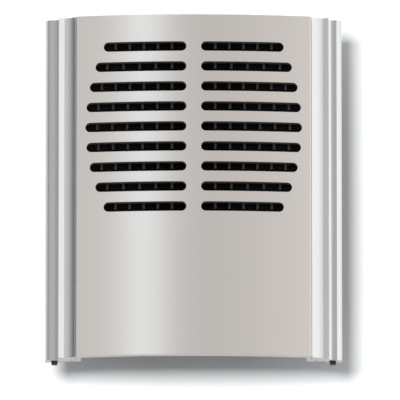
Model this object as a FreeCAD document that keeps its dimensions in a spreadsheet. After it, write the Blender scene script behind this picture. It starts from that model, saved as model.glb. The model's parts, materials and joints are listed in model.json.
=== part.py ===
import FreeCAD, Part
import math
import os
from types import SimpleNamespace

import Sketcher
from FreeCAD import Vector

# Intercom audio module: a slotted aluminium front between two moulded rails,
# with the loudspeaker, the microphone and the board on a carrier behind it.
# Millimetres. X to the right, Z up, and the front faces -Y.
# The plane y = 0 is the seat on the panel frame, and the origin is the middle
# of its four fixing inserts.

DRIVING = {
    # Aluminium front
    "module_height": 117.8,
    "plate_width": 79.4,
    "plate_radius": 250.0,
    "crest_height": 12.8,
    "plate_thickness": 2.6,
    "plate_edge_round": 0.4,
    "leg_thickness": 1.8,
    "tongue_reach": 1.3,
    "tongue_thickness": 1.4,
    "tongue_level": 3.0,
    # Slot field, one half
    "slot_rows": 9,
    "slot_pitch": 6.94,
    "slot_height": 3.2,
    "slot_web": 5.0,
    "slot_reach": 36.5,
    "slot_field_radius": 65.6,
    "speech_level": 20.1,
    # Rails
    "rail_width": 10.25,
    "rail_lip_height": 8.9,
    "rail_lip_width": 0.15,
    "rail_lip_slope": 45.0,
    "rail_cove_radius": 6.9,
    "rail_crease_inset": 3.85,
    "rail_ridge_inset": 5.7,
    "rail_ridge_slope": 22.0,
    "rail_ridge_flat": 0.1,
    "rail_wall_lean": 0.05,
    "rail_foot_radius": 2.3,
    "rail_foot_run": 1.7,
    "rail_shelf_height": 4.4,
    "rail_outer_slope": 27.0,
    "rail_outer_round": 2.0,
    "rail_outer_level": 2.3,
    "seal_inset": 2.1,
    "seal_width": 2.1,
    "seal_depth": 2.5,
    "seal_overhang": 1.0,
    "rail_screw_inset": 2.9,
    "rail_screw_span": 45.0,
    # Clearances
    "seam": 0.05,
    "fit_gap": 0.05,
    "slide_gap": 0.1,
    "leg_gap": 0.2,
    "running_gap": 0.1,
    # Grille moulding behind the slots, and the membrane behind it
    "grille_gap": 0.2,
    "grille_margin": 2.2,
    "channel_margin": 0.2,
    "rib_width": 0.8,
    "rib_start": 7.3,
    "rib_end": 4.0,
    "rib_pitch": 4.9,
    "rib_height": 2.1,
    "membrane_thickness": 0.3,
    "membrane_margin": 1.2,
    # Carrier
    "carrier_inset": 2.5,
    "flange_thickness": 1.8,
    "ear_gap": 1.05,
    "baffle_front": 4.7,
    "baffle_thickness": 1.5,
    "baffle_opening": 26.0,
    "insert_inset": 4.2,
    "insert_radius": 2.3,
    "insert_bore": 1.5,
    "insert_length": 4.0,
    # Rear cover
    "cover_side_room": 7.5,
    "cover_top_room": 3.3,
    "cover_foot_room": 2.0,
    "cover_wall": 1.6,
    "cover_corner": 10.0,
    "cover_lip_step": 1.1,
    "cover_lip_wall": 1.0,
    "cover_lip_depth": 1.2,
    "cover_spare_depth": 1.6,
    "post_radius": 3.0,
    "post_inset": 5.4,
    "post_drop": 9.5,
    "post_seat": 6.0,
    "bay_width": 42.0,
    "bay_rise": 15.6,
    "bay_wall": 1.5,
    "bay_gap": 0.3,
    # Self-tapping screws and the countersunk rail screws
    "tapping_radius": 1.1,
    "tapping_head_radius": 2.0,
    "tapping_head_height": 1.5,
    "tapping_face_radius": 1.5,
    "tapping_bite": 3.5,
    "boss_radius": 2.4,
    "rail_screw_radius": 1.0,
    "rail_screw_head": 1.9,
    "rail_screw_length": 4.6,
    "drive_width": 0.6,
    "drive_depth": 0.8,
    # Loudspeaker
    "speaker_radius": 28.5,
    "rim_width": 3.6,
    "basket_sheet": 0.6,
    "basket_depth": 8.7,
    "basket_cone_run": 2.4,
    "basket_floor_radius": 15.4,
    "basket_hole_radius": 8.2,
    "basket_window_wide": 9.0,
    "basket_window_deep": 5.0,
    "basket_window_radius": 20.3,
    "gasket_thickness": 1.2,
    "gasket_width": 2.2,
    "film": 0.3,
    "roll_centre": 23.3,
    "roll_radius": 1.55,
    "roll_flange": 28.2,
    "cone_lap": 1.45,
    "cone_depth": 5.7,
    "coil_inner_radius": 6.75,
    "coil_wall": 0.35,
    "coil_winding": 0.1,
    "coil_front": 3.7,
    "coil_length": 5.7,
    "winding_length": 2.6,
    "cap_rise": 1.7,
    "pole_radius": 6.5,
    "gap_outer_radius": 7.45,
    "magnet_bore": 8.5,
    "magnet_radius": 16.0,
    "magnet_thickness": 5.0,
    "steel_radius": 14.5,
    "top_plate_thickness": 2.0,
    "yoke_thickness": 2.0,
    "clip_angle": 25.0,
    "clip_circle": 32.5,
    "clip_width": 5.6,
    "clip_grip": 1.3,
    "clip_tail": 2.2,
    "clip_thickness": 0.8,
    "tag_width": 10.0,
    "tag_depth": 2.7,
    "tag_thickness": 1.2,
    "lug_spread": 3.0,
    "lug_width": 1.6,
    "lug_thickness": 0.4,
    "lug_length": 3.5,
    # Microphone
    "microphone_across": 24.0,
    "microphone_drop": 27.8,
    "capsule_radius": 4.85,
    "capsule_length": 6.7,
    "boot_wall": 1.5,
    "boot_floor": 1.0,
    "boot_length": 7.2,
    "boot_hole_radius": 2.0,
    "sound_hole_radius": 3.0,
    "collar_wall": 1.2,
    "collar_height": 3.2,
    # Board
    "board_side_gap": 0.2,
    "board_top_gap": 0.35,
    "board_bottom": 48.0,
    "board_thickness": 1.6,
    "board_standoff": 3.0,
    "board_screw_inset": 2.6,
    # Terminal block with rising cages
    "poles": 5,
    "pole_pitch": 5.0,
    "block_end_wall": 0.25,
    "block_height": 10.0,
    "block_depth": 8.2,
    "block_floor": 0.8,
    "block_front_wall": 0.8,
    "block_back_wall": 1.1,
    "cell_width": 4.4,
    "cell_height": 6.4,
    "ledge_thickness": 0.8,
    "entry_width": 3.6,
    "entry_height": 2.6,
    "cage_height": 4.4,
    "cage_depth": 4.0,
    "cage_wall": 0.6,
    "cage_top": 1.0,
    "cage_travel": 1.4,
    "cage_stop_gap": 0.1,
    "clamp_screw_radius": 1.5,
    "clamp_head_radius": 1.85,
    "clamp_head_height": 1.3,
    "clamp_screw_inset": 3.6,
    "bar_thickness": 0.8,
    "bar_width": 2.8,
    "pin_width": 0.9,
    "pin_tail": 1.6,
    # Trimmers
    "trimmer_side": 6.8,
    "trimmer_height": 5.0,
    "trimmer_gap": 0.9,
    "trimmer_rise": 4.0,
    "rotor_radius": 2.15,
    "rotor_seat": 2.2,
    "rotor_proud": 0.3,
    "rotor_slot_length": 3.6,
    # Parts on the board
    "chip_width": 6.4,
    "chip_height": 3.3,
    "chip_standoff": 0.5,
    "chip_pin_pitch": 2.54,
    "chip_pin_width": 0.5,
    "chip_pin_thickness": 0.3,
    "chip_pin_rise": 1.8,
    "speech_chip_length": 19.3,
    "speech_chip_pairs": 7,
    "speech_chip_drop": 4.2,
    "amplifier_length": 9.8,
    "amplifier_pairs": 4,
    "amplifier_inset": 10.2,
    "amplifier_drop": 13.0,
    "core_width": 14.0,
    "core_depth": 11.2,
    "core_stack": 5.0,
    "core_rim": 2.1,
    "core_leg": 3.6,
    "core_rise": 2.4,
    "core_inset": 7.8,
    "core_drop": 12.6,
    "coil_overhang": 2.0,
    "can_height": 11.0,
    "can_groove": 0.35,
    "can_crimp": 1.8,
    "large_can_radius": 4.0,
    "large_can_across": 7.7,
    "large_can_drop": 13.2,
    "middle_can_radius": 3.15,
    "small_can_radius": 2.5,
    "small_can_inset": 3.2,
    "small_can_drop": 9.0,
    "small_can_pitch": 6.4,
    "film_boxes": 3,
    "film_box_gap": 0.8,
    "film_box_width": 7.2,
    "film_box_height": 6.5,
    "film_box_thickness": 2.4,
    "film_box_pitch": 3.0,
    "film_box_drop": 9.4,
    "axial_lead_radius": 0.3,
    "axial_lead_run": 0.7,
    "axial_inset": 1.2,
    "axial_pitch": 2.4,
    "axial_rise": 9.8,
    "resistor_radius": 1.0,
    "resistor_length": 5.6,
    "diode_radius": 0.9,
    "diode_length": 4.0,
    "header_width": 6.0,
    "header_depth": 5.0,
    "header_height": 5.0,
    "header_wall": 0.7,
    "header_floor": 1.2,
    "header_inset": 10.4,
    "header_drop": 2.8,
    "plug_length": 5.2,
    "wire_pitch": 2.0,
    "wire_diameter": 0.9,
}


class Size:
    """A length with the expression that ties it to the spreadsheet."""

    def __init__(self, text, value):
        self.text = text
        self.value = float(value)

    def joined(self, sign, other, value):
        return Size(f"({self.text} {sign} {other.text})", value)

    def __add__(self, other):
        other = size(other)
        return self.joined("+", other, self.value + other.value)

    def __sub__(self, other):
        other = size(other)
        return self.joined("-", other, self.value - other.value)

    def __mul__(self, other):
        other = size(other)
        return self.joined("*", other, self.value * other.value)

    def __truediv__(self, other):
        other = size(other)
        return self.joined("/", other, self.value / other.value)

    def __radd__(self, other):
        return size(other) + self

    def __rsub__(self, other):
        return size(other) - self

    def __rmul__(self, other):
        return size(other) * self

    def __neg__(self):
        return Size(f"(0 - {self.text})", -self.value)


def size(number):
    """Give a plain number the same form as a length from the sheet."""
    if isinstance(number, Size):
        return number
    return Size(f"({float(number)!r})", number)


def root(length):
    return Size(f"sqrt({length.text})", math.sqrt(length.value))


def sine(angle):
    return Size(f"sin({angle.text})", math.sin(math.radians(angle.value)))


def cosine(angle):
    return Size(f"cos({angle.text})", math.cos(math.radians(angle.value)))


def tangent(angle):
    return Size(f"tan({angle.text})", math.tan(math.radians(angle.value)))


doc = FreeCAD.newDocument("AudioModule")
sheet = doc.addObject("Spreadsheet::Sheet", "Dimensions")
for row, (alias, number) in enumerate(DRIVING.items(), start=1):
    sheet.set(f"A{row}", alias)
    sheet.set(f"B{row}", str(number))
    sheet.setAlias(f"B{row}", alias)
doc.recompute()

dim = SimpleNamespace(**{alias: Size(f"Dimensions.{alias}", number) for alias, number in DRIVING.items()})
finished = []
cuts = []


# Drawing

def tie(thing, name, length):
    """Set a property to a length and bind it to the length's expression."""
    length = size(length)
    if "." not in name:
        setattr(thing, name, length.value)
    thing.setExpression(name, length.text)


class Bonds:
    """The constraints of a sketch, added in one go, with their dimensions bound."""

    def __init__(self, sketch):
        self.sketch = sketch
        self.constraints = []
        self.texts = []

    def join(self, kind, *where):
        self.constraints.append(Sketcher.Constraint(kind, *where))
        self.texts.append(None)

    def measure(self, kind, *where):
        """Add a dimension: its length comes last."""
        length = size(where[-1])
        self.constraints.append(Sketcher.Constraint(kind, *where[:-1], length.value))
        self.texts.append(length.text)

    def close(self):
        first = self.sketch.ConstraintCount
        self.sketch.addConstraint(self.constraints)
        for number, text in enumerate(self.texts, start=first):
            if text is not None:
                self.sketch.setExpression(f"Constraints[{number}]", text)


def arc_to(corner, centre):
    """Mark a corner as the start of an arc about a centre, up to the next corner."""
    return corner + (centre,)


def draw_loop(sketch, bonds, corners):
    """Draw one closed outline and fix each corner, and the free centre of each arc."""
    count = len(corners)
    first = sketch.GeometryCount
    starts = []
    for index, corner in enumerate(corners):
        after = corners[(index + 1) % count]
        a = Vector(size(corner[0]).value, size(corner[1]).value, 0)
        b = Vector(size(after[0]).value, size(after[1]).value, 0)
        if len(corner) == 2:
            sketch.addGeometry(Part.LineSegment(a, b), False)
            starts.append(1)
            continue
        centre = Vector(size(corner[2][0]).value, size(corner[2][1]).value, 0)
        radius = (a - centre).Length
        from_angle = math.atan2(a.y - centre.y, a.x - centre.x)
        to_angle = math.atan2(b.y - centre.y, b.x - centre.x)
        swing = (to_angle - from_angle) % (2 * math.pi)
        forward = swing <= math.pi + 1e-6
        circle = Part.Circle(centre, Vector(0, 0, 1), radius)
        if forward:
            sketch.addGeometry(Part.ArcOfCircle(circle, from_angle, from_angle + swing), False)
            starts.append(1)
        else:
            back = 2 * math.pi - swing
            sketch.addGeometry(Part.ArcOfCircle(circle, to_angle, to_angle + back), False)
            starts.append(2)
    for index, corner in enumerate(corners):
        line = first + index
        before = first + (index - 1) % count
        end_before = 3 - starts[(index - 1) % count]
        bonds.join("Coincident", before, end_before, line, starts[index])
        bonds.measure("DistanceX", -1, 1, line, starts[index], corner[0])
        bonds.measure("DistanceY", -1, 1, line, starts[index], corner[1])
        if len(corner) == 3:
            after = corners[(index + 1) % count]
            across = abs(size(after[0]).value - size(corner[0]).value)
            along = abs(size(after[1]).value - size(corner[1]).value)
            if along > across:
                bonds.measure("DistanceX", -1, 1, line, 3, corner[2][0])
            else:
                bonds.measure("DistanceY", -1, 1, line, 3, corner[2][1])


def draw_circle(sketch, bonds, centre, radius):
    x, y = centre
    circle = Part.Circle(Vector(size(x).value, size(y).value, 0), Vector(0, 0, 1), size(radius).value)
    line = sketch.addGeometry(circle, False)
    bonds.measure("DistanceX", -1, 1, line, 3, x)
    bonds.measure("DistanceY", -1, 1, line, 3, y)
    bonds.measure("Radius", line, radius)


def rectangle(low, high):
    return [(low[0], low[1]), (high[0], low[1]), (high[0], high[1]), (low[0], high[1])]


def square(centre, width, depth):
    x, y = centre
    return rectangle((x - width / 2, y - depth / 2), (x + width / 2, y + depth / 2))


def obround(left, right, level, height):
    """A slot with full round ends, from its left tip to its right tip."""
    radius = height / 2
    inner = left + radius
    outer = right - radius
    return [
        (inner, level - radius),
        arc_to((outer, level - radius), (outer, level)),
        (outer, level + radius),
        arc_to((inner, level + radius), (inner, level)),
    ]


class Circle:
    def __init__(self, centre, radius):
        self.centre = centre
        self.radius = radius


class Piece:
    """A sub-part made as a PartDesign body."""

    def __init__(self, label):
        self.body = doc.addObject("PartDesign::Body", label)
        self.body.Label = label
        self.count = 0
        finished.append(self.body)

    def origin(self, role):
        return next(item for item in self.body.Origin.OriginFeatures if item.Role == role)

    def name(self, word):
        self.count += 1
        return f"{self.body.Name}_{word}_{self.count}"

    def sketch(self, role, offset, loops):
        sketch = self.body.newObject("Sketcher::SketchObject", self.name("sketch"))
        sketch.AttachmentSupport = [(self.origin(role), "")]
        sketch.MapMode = "FlatFace"
        sketch.setExpression("AttachmentOffset.Base.z", size(offset).text)
        bonds = Bonds(sketch)
        for loop in loops:
            if isinstance(loop, Circle):
                draw_circle(sketch, bonds, loop.centre, loop.radius)
            else:
                draw_loop(sketch, bonds, loop)
        bonds.close()
        return sketch

    def stroke(self, kind, across, low, high, loops):
        """Pad or pocket outlines through the span from low to high along an axis."""
        role = {"x": "YZ_Plane", "y": "XZ_Plane", "z": "XY_Plane"}[across]
        low = size(low)
        high = size(high)
        offset = -high if across == "y" else low
        sketch = self.sketch(role, offset, loops)
        feature = self.body.newObject(f"PartDesign::{kind}", self.name(kind.lower()))
        feature.Profile = sketch
        feature.Reversed = kind == "Pocket"
        feature.Refine = kind == "Pad"
        tie(feature, "Length", high - low)
        self.body.Tip = feature
        return feature

    def pad(self, across, low, high, *loops):
        return self.stroke("Pad", across, low, high, loops)

    def cut(self, across, low, high, *loops):
        feature = self.stroke("Pocket", across, low, high, loops)
        cuts.append(feature)
        return feature

    def turn(self, centre, profile, kind="Revolution"):
        """Turn a profile of radius and depth about an axis along Y."""
        x, z = centre
        corners = [(x + size(point[0]), *point[1:]) for point in profile]
        corners = [
            point if len(point) == 2 else (point[0], point[1], (x + size(point[2][0]), point[2][1]))
            for point in corners
        ]
        sketch = self.sketch("XY_Plane", z, [corners])
        foot = size(profile[0][1]).value
        axis = sketch.addGeometry(
            Part.LineSegment(Vector(size(x).value, foot, 0), Vector(size(x).value, foot + 1, 0)), True)
        bonds = Bonds(sketch)
        bonds.measure("DistanceX", -1, 1, axis, 1, x)
        bonds.measure("DistanceY", -1, 1, axis, 1, profile[0][1])
        bonds.join("Vertical", axis)
        bonds.measure("DistanceY", axis, 1, axis, 2, 1)
        bonds.close()
        feature = self.body.newObject(f"PartDesign::{kind}", self.name(kind.lower()))
        feature.Profile = sketch
        feature.ReferenceAxis = (sketch, ["Axis0"])
        feature.Refine = False
        self.body.Tip = feature
        if kind == "Groove":
            cuts.append(feature)
        return feature

    def repeat(self, features, role, pitch, occurrences):
        """Repeat features at a pitch along one of the body's axes."""
        doc.recompute()
        pattern = self.body.newObject("PartDesign::LinearPattern", self.name("pattern"))
        pattern.Originals = features
        pattern.Direction = (self.origin(role), [""])
        tie(pattern, "Length", pitch * (occurrences - 1))
        pattern.Occurrences = int(size(occurrences).value)
        pattern.setExpression("Occurrences", size(occurrences).text)
        self.body.Tip = pattern
        return pattern

    def mirror(self, role):
        """Mirror the whole shape about one of the body's planes."""
        doc.recompute()
        mirrored = self.body.newObject("PartDesign::Mirrored", self.name("mirrored"))
        mirrored.TransformMode = "Whole shape"
        mirrored.MirrorPlane = (self.origin(role), [""])
        mirrored.Refine = False
        self.body.Tip = mirrored

    def place(self, x=0, y=0, z=0):
        for axis, length in (("x", x), ("y", y), ("z", z)):
            self.body.setExpression(f"Placement.Base.{axis}", size(length).text)


def block(name, low, high):
    """A Part box between two corners."""
    box = doc.addObject("Part::Box", name)
    for side, index in (("Length", 0), ("Width", 1), ("Height", 2)):
        tie(box, side, size(high[index]) - size(low[index]))
        box.setExpression(f"Placement.Base.{'xyz'[index]}", size(low[index]).text)
    return box


def rod(name, centre, radius, low, high):
    """A Part cylinder along Y, between two depths."""
    cylinder = doc.addObject("Part::Cylinder", name)
    cylinder.Placement = FreeCAD.Placement(Vector(), FreeCAD.Rotation(Vector(1, 0, 0), -90))
    tie(cylinder, "Radius", radius)
    tie(cylinder, "Height", size(high) - size(low))
    for axis, length in (("x", centre[0]), ("y", low), ("z", centre[1])):
        cylinder.setExpression(f"Placement.Base.{axis}", size(length).text)
    return cylinder


def less(label, base, tool):
    """Cut one Part object from another as a finished sub-part."""
    result = doc.addObject("Part::Cut", label)
    result.Base = base
    result.Tool = tool
    result.Label = label
    finished.append(result)
    return result


def together(label, shapes):
    """Join Part objects as a finished sub-part."""
    result = doc.addObject("Part::MultiFuse", label)
    result.Shapes = shapes
    result.Label = label
    finished.append(result)
    return result


# Places that more than one piece shares

half_height = dim.module_height / 2
plate_half = dim.plate_width / 2
plate_centre = dim.plate_radius - dim.crest_height
plate_inner_radius = dim.plate_radius - dim.plate_thickness
inner_crest = dim.crest_height - dim.plate_thickness
leg_inner = plate_half - dim.leg_thickness
rail_inner = plate_half + dim.seam
rail_outer = rail_inner + dim.rail_width
speech_centre = (size(0), dim.speech_level)

seal_outer = rail_outer - dim.seal_inset
seal_inner = seal_outer - dim.seal_width
ear_edge = seal_inner - dim.ear_gap

carrier_half_height = half_height - dim.carrier_inset
carrier_block = leg_inner - dim.leg_gap
baffle_back = dim.baffle_front - dim.baffle_thickness
membrane_front = dim.baffle_front + dim.membrane_thickness
grille_radius = plate_inner_radius - dim.grille_gap
grille_half = carrier_block

rim_front = dim.gasket_thickness + dim.film - baffle_back
rim_back = rim_front + dim.basket_sheet
basket_back = rim_front + dim.basket_depth
top_plate_back = basket_back + dim.top_plate_thickness
magnet_back = top_plate_back + dim.magnet_thickness
speaker_back = magnet_back + dim.yoke_thickness
cover_back = speaker_back + dim.cover_spare_depth + dim.cover_wall

microphone_centre = (-dim.microphone_across, dim.speech_level - dim.microphone_drop)
boot_radius = dim.capsule_radius + dim.boot_wall

cover_half = dim.speaker_radius + dim.cover_side_room
cover_top = dim.speech_level + dim.speaker_radius + dim.cover_top_room
cover_bottom = dim.board_bottom + dim.cover_foot_room
post_spread = cover_half - dim.post_inset

board_front = dim.board_standoff
board_back = board_front + dim.board_thickness
board_half = post_spread - dim.post_radius - dim.board_side_gap
board_top = microphone_centre[1] - boot_radius - dim.board_top_gap

bay_half = dim.bay_width / 2
bay_top = dim.bay_rise - cover_bottom
bay_floor = board_back + dim.bay_gap

insert_places = [
    (side * (carrier_block - dim.insert_inset), level * (carrier_half_height - dim.insert_inset))
    for side in (-1, 1) for level in (-1, 1)
]
rail_screw_places = [
    (side * (rail_inner + dim.rail_screw_inset), level * dim.rail_screw_span)
    for side in (-1, 1) for level in (-1, 0, 1)
]
post_places = [
    (side * post_spread, level)
    for side in (-1, 1) for level in (dim.post_drop - cover_bottom, cover_top - dim.post_drop)
]
board_screw_places = [
    (side * (board_half - dim.board_screw_inset), level)
    for side in (-1, 1)
    for level in (board_top - dim.board_screw_inset, dim.board_screw_inset - dim.board_bottom)
]
clip_angles = [dim.clip_angle, 180 - dim.clip_angle, 180 + dim.clip_angle, 360 - dim.clip_angle]


def around_speaker(angle, radius, aside=0):
    """A place on a circle about the loudspeaker, moved aside along the circle."""
    x = radius * cosine(angle) - aside * sine(angle)
    z = dim.speech_level + radius * sine(angle) + aside * cosine(angle)
    return (x, z)


clip_places = [around_speaker(angle, dim.clip_circle) for angle in clip_angles]


def row_level(row):
    """Height of a slot row, counted from the top."""
    return dim.speech_level + ((dim.slot_rows - 1) / 2 - row) * dim.slot_pitch


def row_reach(row):
    """How far a row's slots reach sideways: the ends lie on a wide arc."""
    offset = ((dim.slot_rows - 1) / 2 - row) * dim.slot_pitch
    arc = dim.slot_field_radius
    return dim.slot_reach - arc + root(arc * arc - offset * offset)


slot_row_numbers = range(int(DRIVING["slot_rows"]))
slot_field_top = row_level(0) + dim.slot_height / 2 + dim.grille_margin
slot_field_bottom = row_level(slot_row_numbers[-1]) - dim.slot_height / 2 - dim.grille_margin


def chamfered(inset):
    """The outline of the rear cover, drawn in by an even inset."""
    corner = dim.cover_corner - inset * (2 - math.sqrt(2))
    wide = cover_half - inset
    top = cover_top - inset
    bottom = inset - cover_bottom
    return [
        (corner - wide, bottom), (wide - corner, bottom),
        (wide, bottom + corner), (wide, top - corner),
        (wide - corner, top), (corner - wide, top),
        (-wide, top - corner), (-wide, bottom + corner),
    ]


# Front

def make_front_plate():
    """Convex extrusion with two legs, side tongues and the slot field."""
    plate = Piece("front_plate")
    shoulder = plate_half - dim.plate_edge_round
    brow = plate_centre - root(dim.plate_radius * dim.plate_radius - shoulder * shoulder)
    inner_brow = plate_centre - root(plate_inner_radius * plate_inner_radius - leg_inner * leg_inner)
    tongue_end = plate_half + dim.tongue_reach
    tongue_front = dim.tongue_level + dim.tongue_thickness
    middle = (size(0), plate_centre)
    foot = -dim.flange_thickness
    plate.pad("z", -half_height, half_height, [
        (leg_inner, foot), (plate_half, foot),
        (plate_half, -dim.tongue_level), (tongue_end, -dim.tongue_level),
        (tongue_end, -tongue_front), (plate_half, -tongue_front),
        arc_to((plate_half, brow + dim.plate_edge_round), (shoulder, brow + dim.plate_edge_round)),
        arc_to((shoulder, brow), middle), (size(0), -dim.crest_height),
        arc_to((size(0), -inner_crest), middle), (leg_inner, inner_brow),
    ])
    for row in slot_row_numbers:
        plate.cut("y", -dim.crest_height, -membrane_front,
                  obround(dim.slot_web / 2, row_reach(row), row_level(row), dim.slot_height))
    plate.mirror("YZ_Plane")


def make_side_rail(label, side):
    """Moulded rail: lip, cove, ridge, shelf and rounded outer edge, with its grooves behind."""
    rail = Piece(label)
    groove_rear = dim.tongue_level - dim.slide_gap
    groove_front = dim.tongue_level + dim.tongue_thickness + dim.slide_gap
    groove_end = plate_half + dim.tongue_reach + 2 * dim.slide_gap
    cove_start = rail_inner + dim.rail_lip_width
    cove_middle = cove_start + dim.rail_cove_radius * sine(dim.rail_lip_slope)
    cove_level = dim.rail_lip_height + dim.rail_cove_radius * cosine(dim.rail_lip_slope)
    crease = rail_inner + dim.rail_crease_inset
    crease_run = cove_middle - crease
    crease_level = cove_level - root(dim.rail_cove_radius * dim.rail_cove_radius - crease_run * crease_run)
    ridge = rail_inner + dim.rail_ridge_inset
    ridge_level = crease_level + (ridge - crease) * tangent(dim.rail_ridge_slope)
    wall_foot = ridge + dim.rail_ridge_flat + dim.rail_wall_lean
    foot_end = wall_foot + dim.rail_foot_run
    foot_middle = dim.rail_shelf_height + dim.rail_foot_radius
    foot_level = foot_middle - root(
        dim.rail_foot_radius * dim.rail_foot_radius - dim.rail_foot_run * dim.rail_foot_run)
    round_middle = rail_outer - dim.rail_outer_round
    slope_end = round_middle + dim.rail_outer_round * sine(dim.rail_outer_slope)
    slope_level = dim.rail_outer_level + dim.rail_outer_round * cosine(dim.rail_outer_slope)
    arris = slope_end - (dim.rail_shelf_height - slope_level) / tangent(dim.rail_outer_slope)
    rebate = ear_edge + dim.slide_gap
    rear = size(0)
    outline = [
        (rail_inner, -dim.flange_thickness), (rail_inner, -groove_rear),
        (groove_end, -groove_rear), (groove_end, -groove_front),
        (rail_inner, -groove_front), (rail_inner, -dim.rail_lip_height),
        arc_to((cove_start, -dim.rail_lip_height), (cove_middle, -cove_level)),
        (crease, -crease_level),
        (ridge, -ridge_level), (ridge + dim.rail_ridge_flat, -ridge_level),
        arc_to((wall_foot, -foot_level), (foot_end, -foot_middle)),
        (foot_end, -dim.rail_shelf_height), (arris, -dim.rail_shelf_height),
        arc_to((slope_end, -slope_level), (round_middle, -dim.rail_outer_level)),
        (rail_outer, -dim.rail_outer_level), (rail_outer, rear),
        (seal_outer + dim.fit_gap, rear), (seal_outer + dim.fit_gap, -dim.seal_depth),
        (seal_inner - dim.fit_gap, -dim.seal_depth), (seal_inner - dim.fit_gap, rear),
        (rebate, rear), (rebate, -dim.flange_thickness),
    ]
    flipped = [
        (side * point[0], *point[1:2], *((side * c[0], c[1]) for c in point[2:])) for point in outline
    ]
    rail.pad("z", -half_height, half_height, flipped)
    holes = [
        Circle(place, dim.rail_screw_radius + dim.fit_gap)
        for place in rail_screw_places if place[0].value * side > 0
    ]
    rail.cut("y", -(dim.rail_screw_length + dim.slide_gap), -dim.flange_thickness, *holes)


def make_rail_seal(label, side):
    """Rubber strip in the channel behind a rail, a little longer than the rail at its foot."""
    edges = (side * seal_inner, side * seal_outer)
    low, high = sorted(edges, key=lambda edge: edge.value)
    seal = Piece(label)
    foot = -half_height - dim.seal_overhang
    seal.pad("z", foot, half_height, rectangle((low, -dim.seal_depth), (high, size(0))))


def comb_channel(row):
    """A channel behind a slot: an obround with short ribs hanging from its upper edge."""
    radius = dim.slot_height / 2 + dim.channel_margin
    inner = dim.slot_web / 2 - dim.channel_margin + radius
    outer = row_reach(row) + dim.channel_margin - radius
    level = row_level(row)
    run = row_reach(row) - dim.rib_end - dim.rib_start
    spaces = max(1, round(run.value / dim.rib_pitch.value))
    top = level + radius
    tip = top - dim.rib_height
    outline = [
        (inner, level - radius), arc_to((outer, level - radius), (outer, level)), (outer, top),
    ]
    for step in range(spaces, -1, -1):
        rib = dim.rib_start + run * (step / spaces)
        near = rib - dim.rib_width / 2
        far = rib + dim.rib_width / 2
        outline += [(far, top), (far, tip), (near, tip), (near, top)]
    outline.append(arc_to((inner, top), (inner, level)))
    return outline


def make_slot_grille():
    """Black moulding with a ribbed channel behind each slot."""
    grille = Piece("slot_grille")
    side_level = plate_centre - root(grille_radius * grille_radius - grille_half * grille_half)
    crest = inner_crest - dim.grille_gap
    grille.pad("z", slot_field_bottom, slot_field_top, [
        (grille_half, -membrane_front),
        arc_to((grille_half, side_level), (size(0), plate_centre)),
        (size(0), -crest), (size(0), -membrane_front),
    ])
    for row in slot_row_numbers:
        grille.cut("y", -crest, -membrane_front, comb_channel(row))
    grille.mirror("YZ_Plane")


def make_acoustic_membrane():
    """Thin cloth between the grille moulding and the baffle, against dust and spray."""
    wide = dim.slot_reach + dim.membrane_margin
    low = slot_field_bottom + dim.membrane_margin
    high = slot_field_top - dim.membrane_margin
    membrane = block("acoustic_membrane", (-wide, -membrane_front, low), (wide, -dim.baffle_front, high))
    membrane.Label = "acoustic_membrane"
    finished.append(membrane)


# Carrier and fasteners

def make_carrier():
    """Moulding that seats on the panel frame and holds everything else."""
    carrier = Piece("carrier")
    back = size(0)
    carrier.pad("y", -dim.flange_thickness, back,
                rectangle((-ear_edge, -carrier_half_height), (ear_edge, carrier_half_height)))
    carrier.pad("y", -dim.baffle_front, -dim.flange_thickness,
                rectangle((-carrier_block, -carrier_half_height), (carrier_block, carrier_half_height)))
    carrier.cut("y", -baffle_back, back, chamfered(dim.cover_lip_step - dim.slide_gap))
    boss_end = board_front
    carrier.pad("y", -baffle_back, boss_end,
                *[Circle(place, dim.boss_radius) for place in board_screw_places])
    carrier.pad("y", -baffle_back, rim_back,
                *[Circle(place, dim.boss_radius) for place in clip_places])
    carrier.pad("y", -baffle_back, back,
                *[Circle(place, dim.post_radius) for place in post_places])
    lip_room = dim.cover_lip_depth + dim.slide_gap
    carrier.cut("y", -lip_room, lip_room,
                chamfered(dim.cover_lip_step - dim.slide_gap),
                chamfered(dim.cover_lip_step + dim.cover_lip_wall + dim.slide_gap))
    collar = boot_radius + dim.fit_gap
    carrier.pad("y", -baffle_back, dim.collar_height - baffle_back,
                Circle(microphone_centre, collar + dim.collar_wall), Circle(microphone_centre, collar))
    carrier.cut("y", -dim.baffle_front, -baffle_back,
                Circle(speech_centre, dim.baffle_opening),
                Circle(microphone_centre, dim.sound_hole_radius))
    carrier.cut("y", -(dim.insert_length + dim.slide_gap), back,
                *[Circle(place, dim.insert_radius + dim.fit_gap) for place in insert_places])
    pilot = dim.tapping_radius + dim.fit_gap
    depth = dim.tapping_bite + dim.slide_gap
    for places, mouth in ((board_screw_places, boss_end), (clip_places, rim_back), (post_places, back)):
        carrier.cut("y", mouth - depth, mouth, *[Circle(place, pilot) for place in places])
    head = dim.rail_screw_head + dim.fit_gap
    shank = dim.rail_screw_radius + dim.fit_gap
    taper = dim.rail_screw_head - dim.rail_screw_radius
    for place in rail_screw_places:
        carrier.turn(place, [
            (size(0), back), (head, back), (shank, -taper),
            (shank, -dim.flange_thickness), (size(0), -dim.flange_thickness),
        ], kind="Groove")


def make_frame_inserts():
    """Four brass inserts with the thread for the panel frame's bolts."""
    inserts = Piece("frame_inserts")
    for place in insert_places:
        inserts.pad("y", -dim.insert_length, size(0),
                    Circle(place, dim.insert_radius), Circle(place, dim.insert_bore))


def cross_recess(piece, place, top):
    """A cross recess in a screw's head."""
    wide = dim.tapping_head_radius
    for width, depth in ((wide, dim.drive_width), (dim.drive_width, wide)):
        piece.cut("y", top - dim.drive_depth, top, square(place, width, depth))


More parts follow.
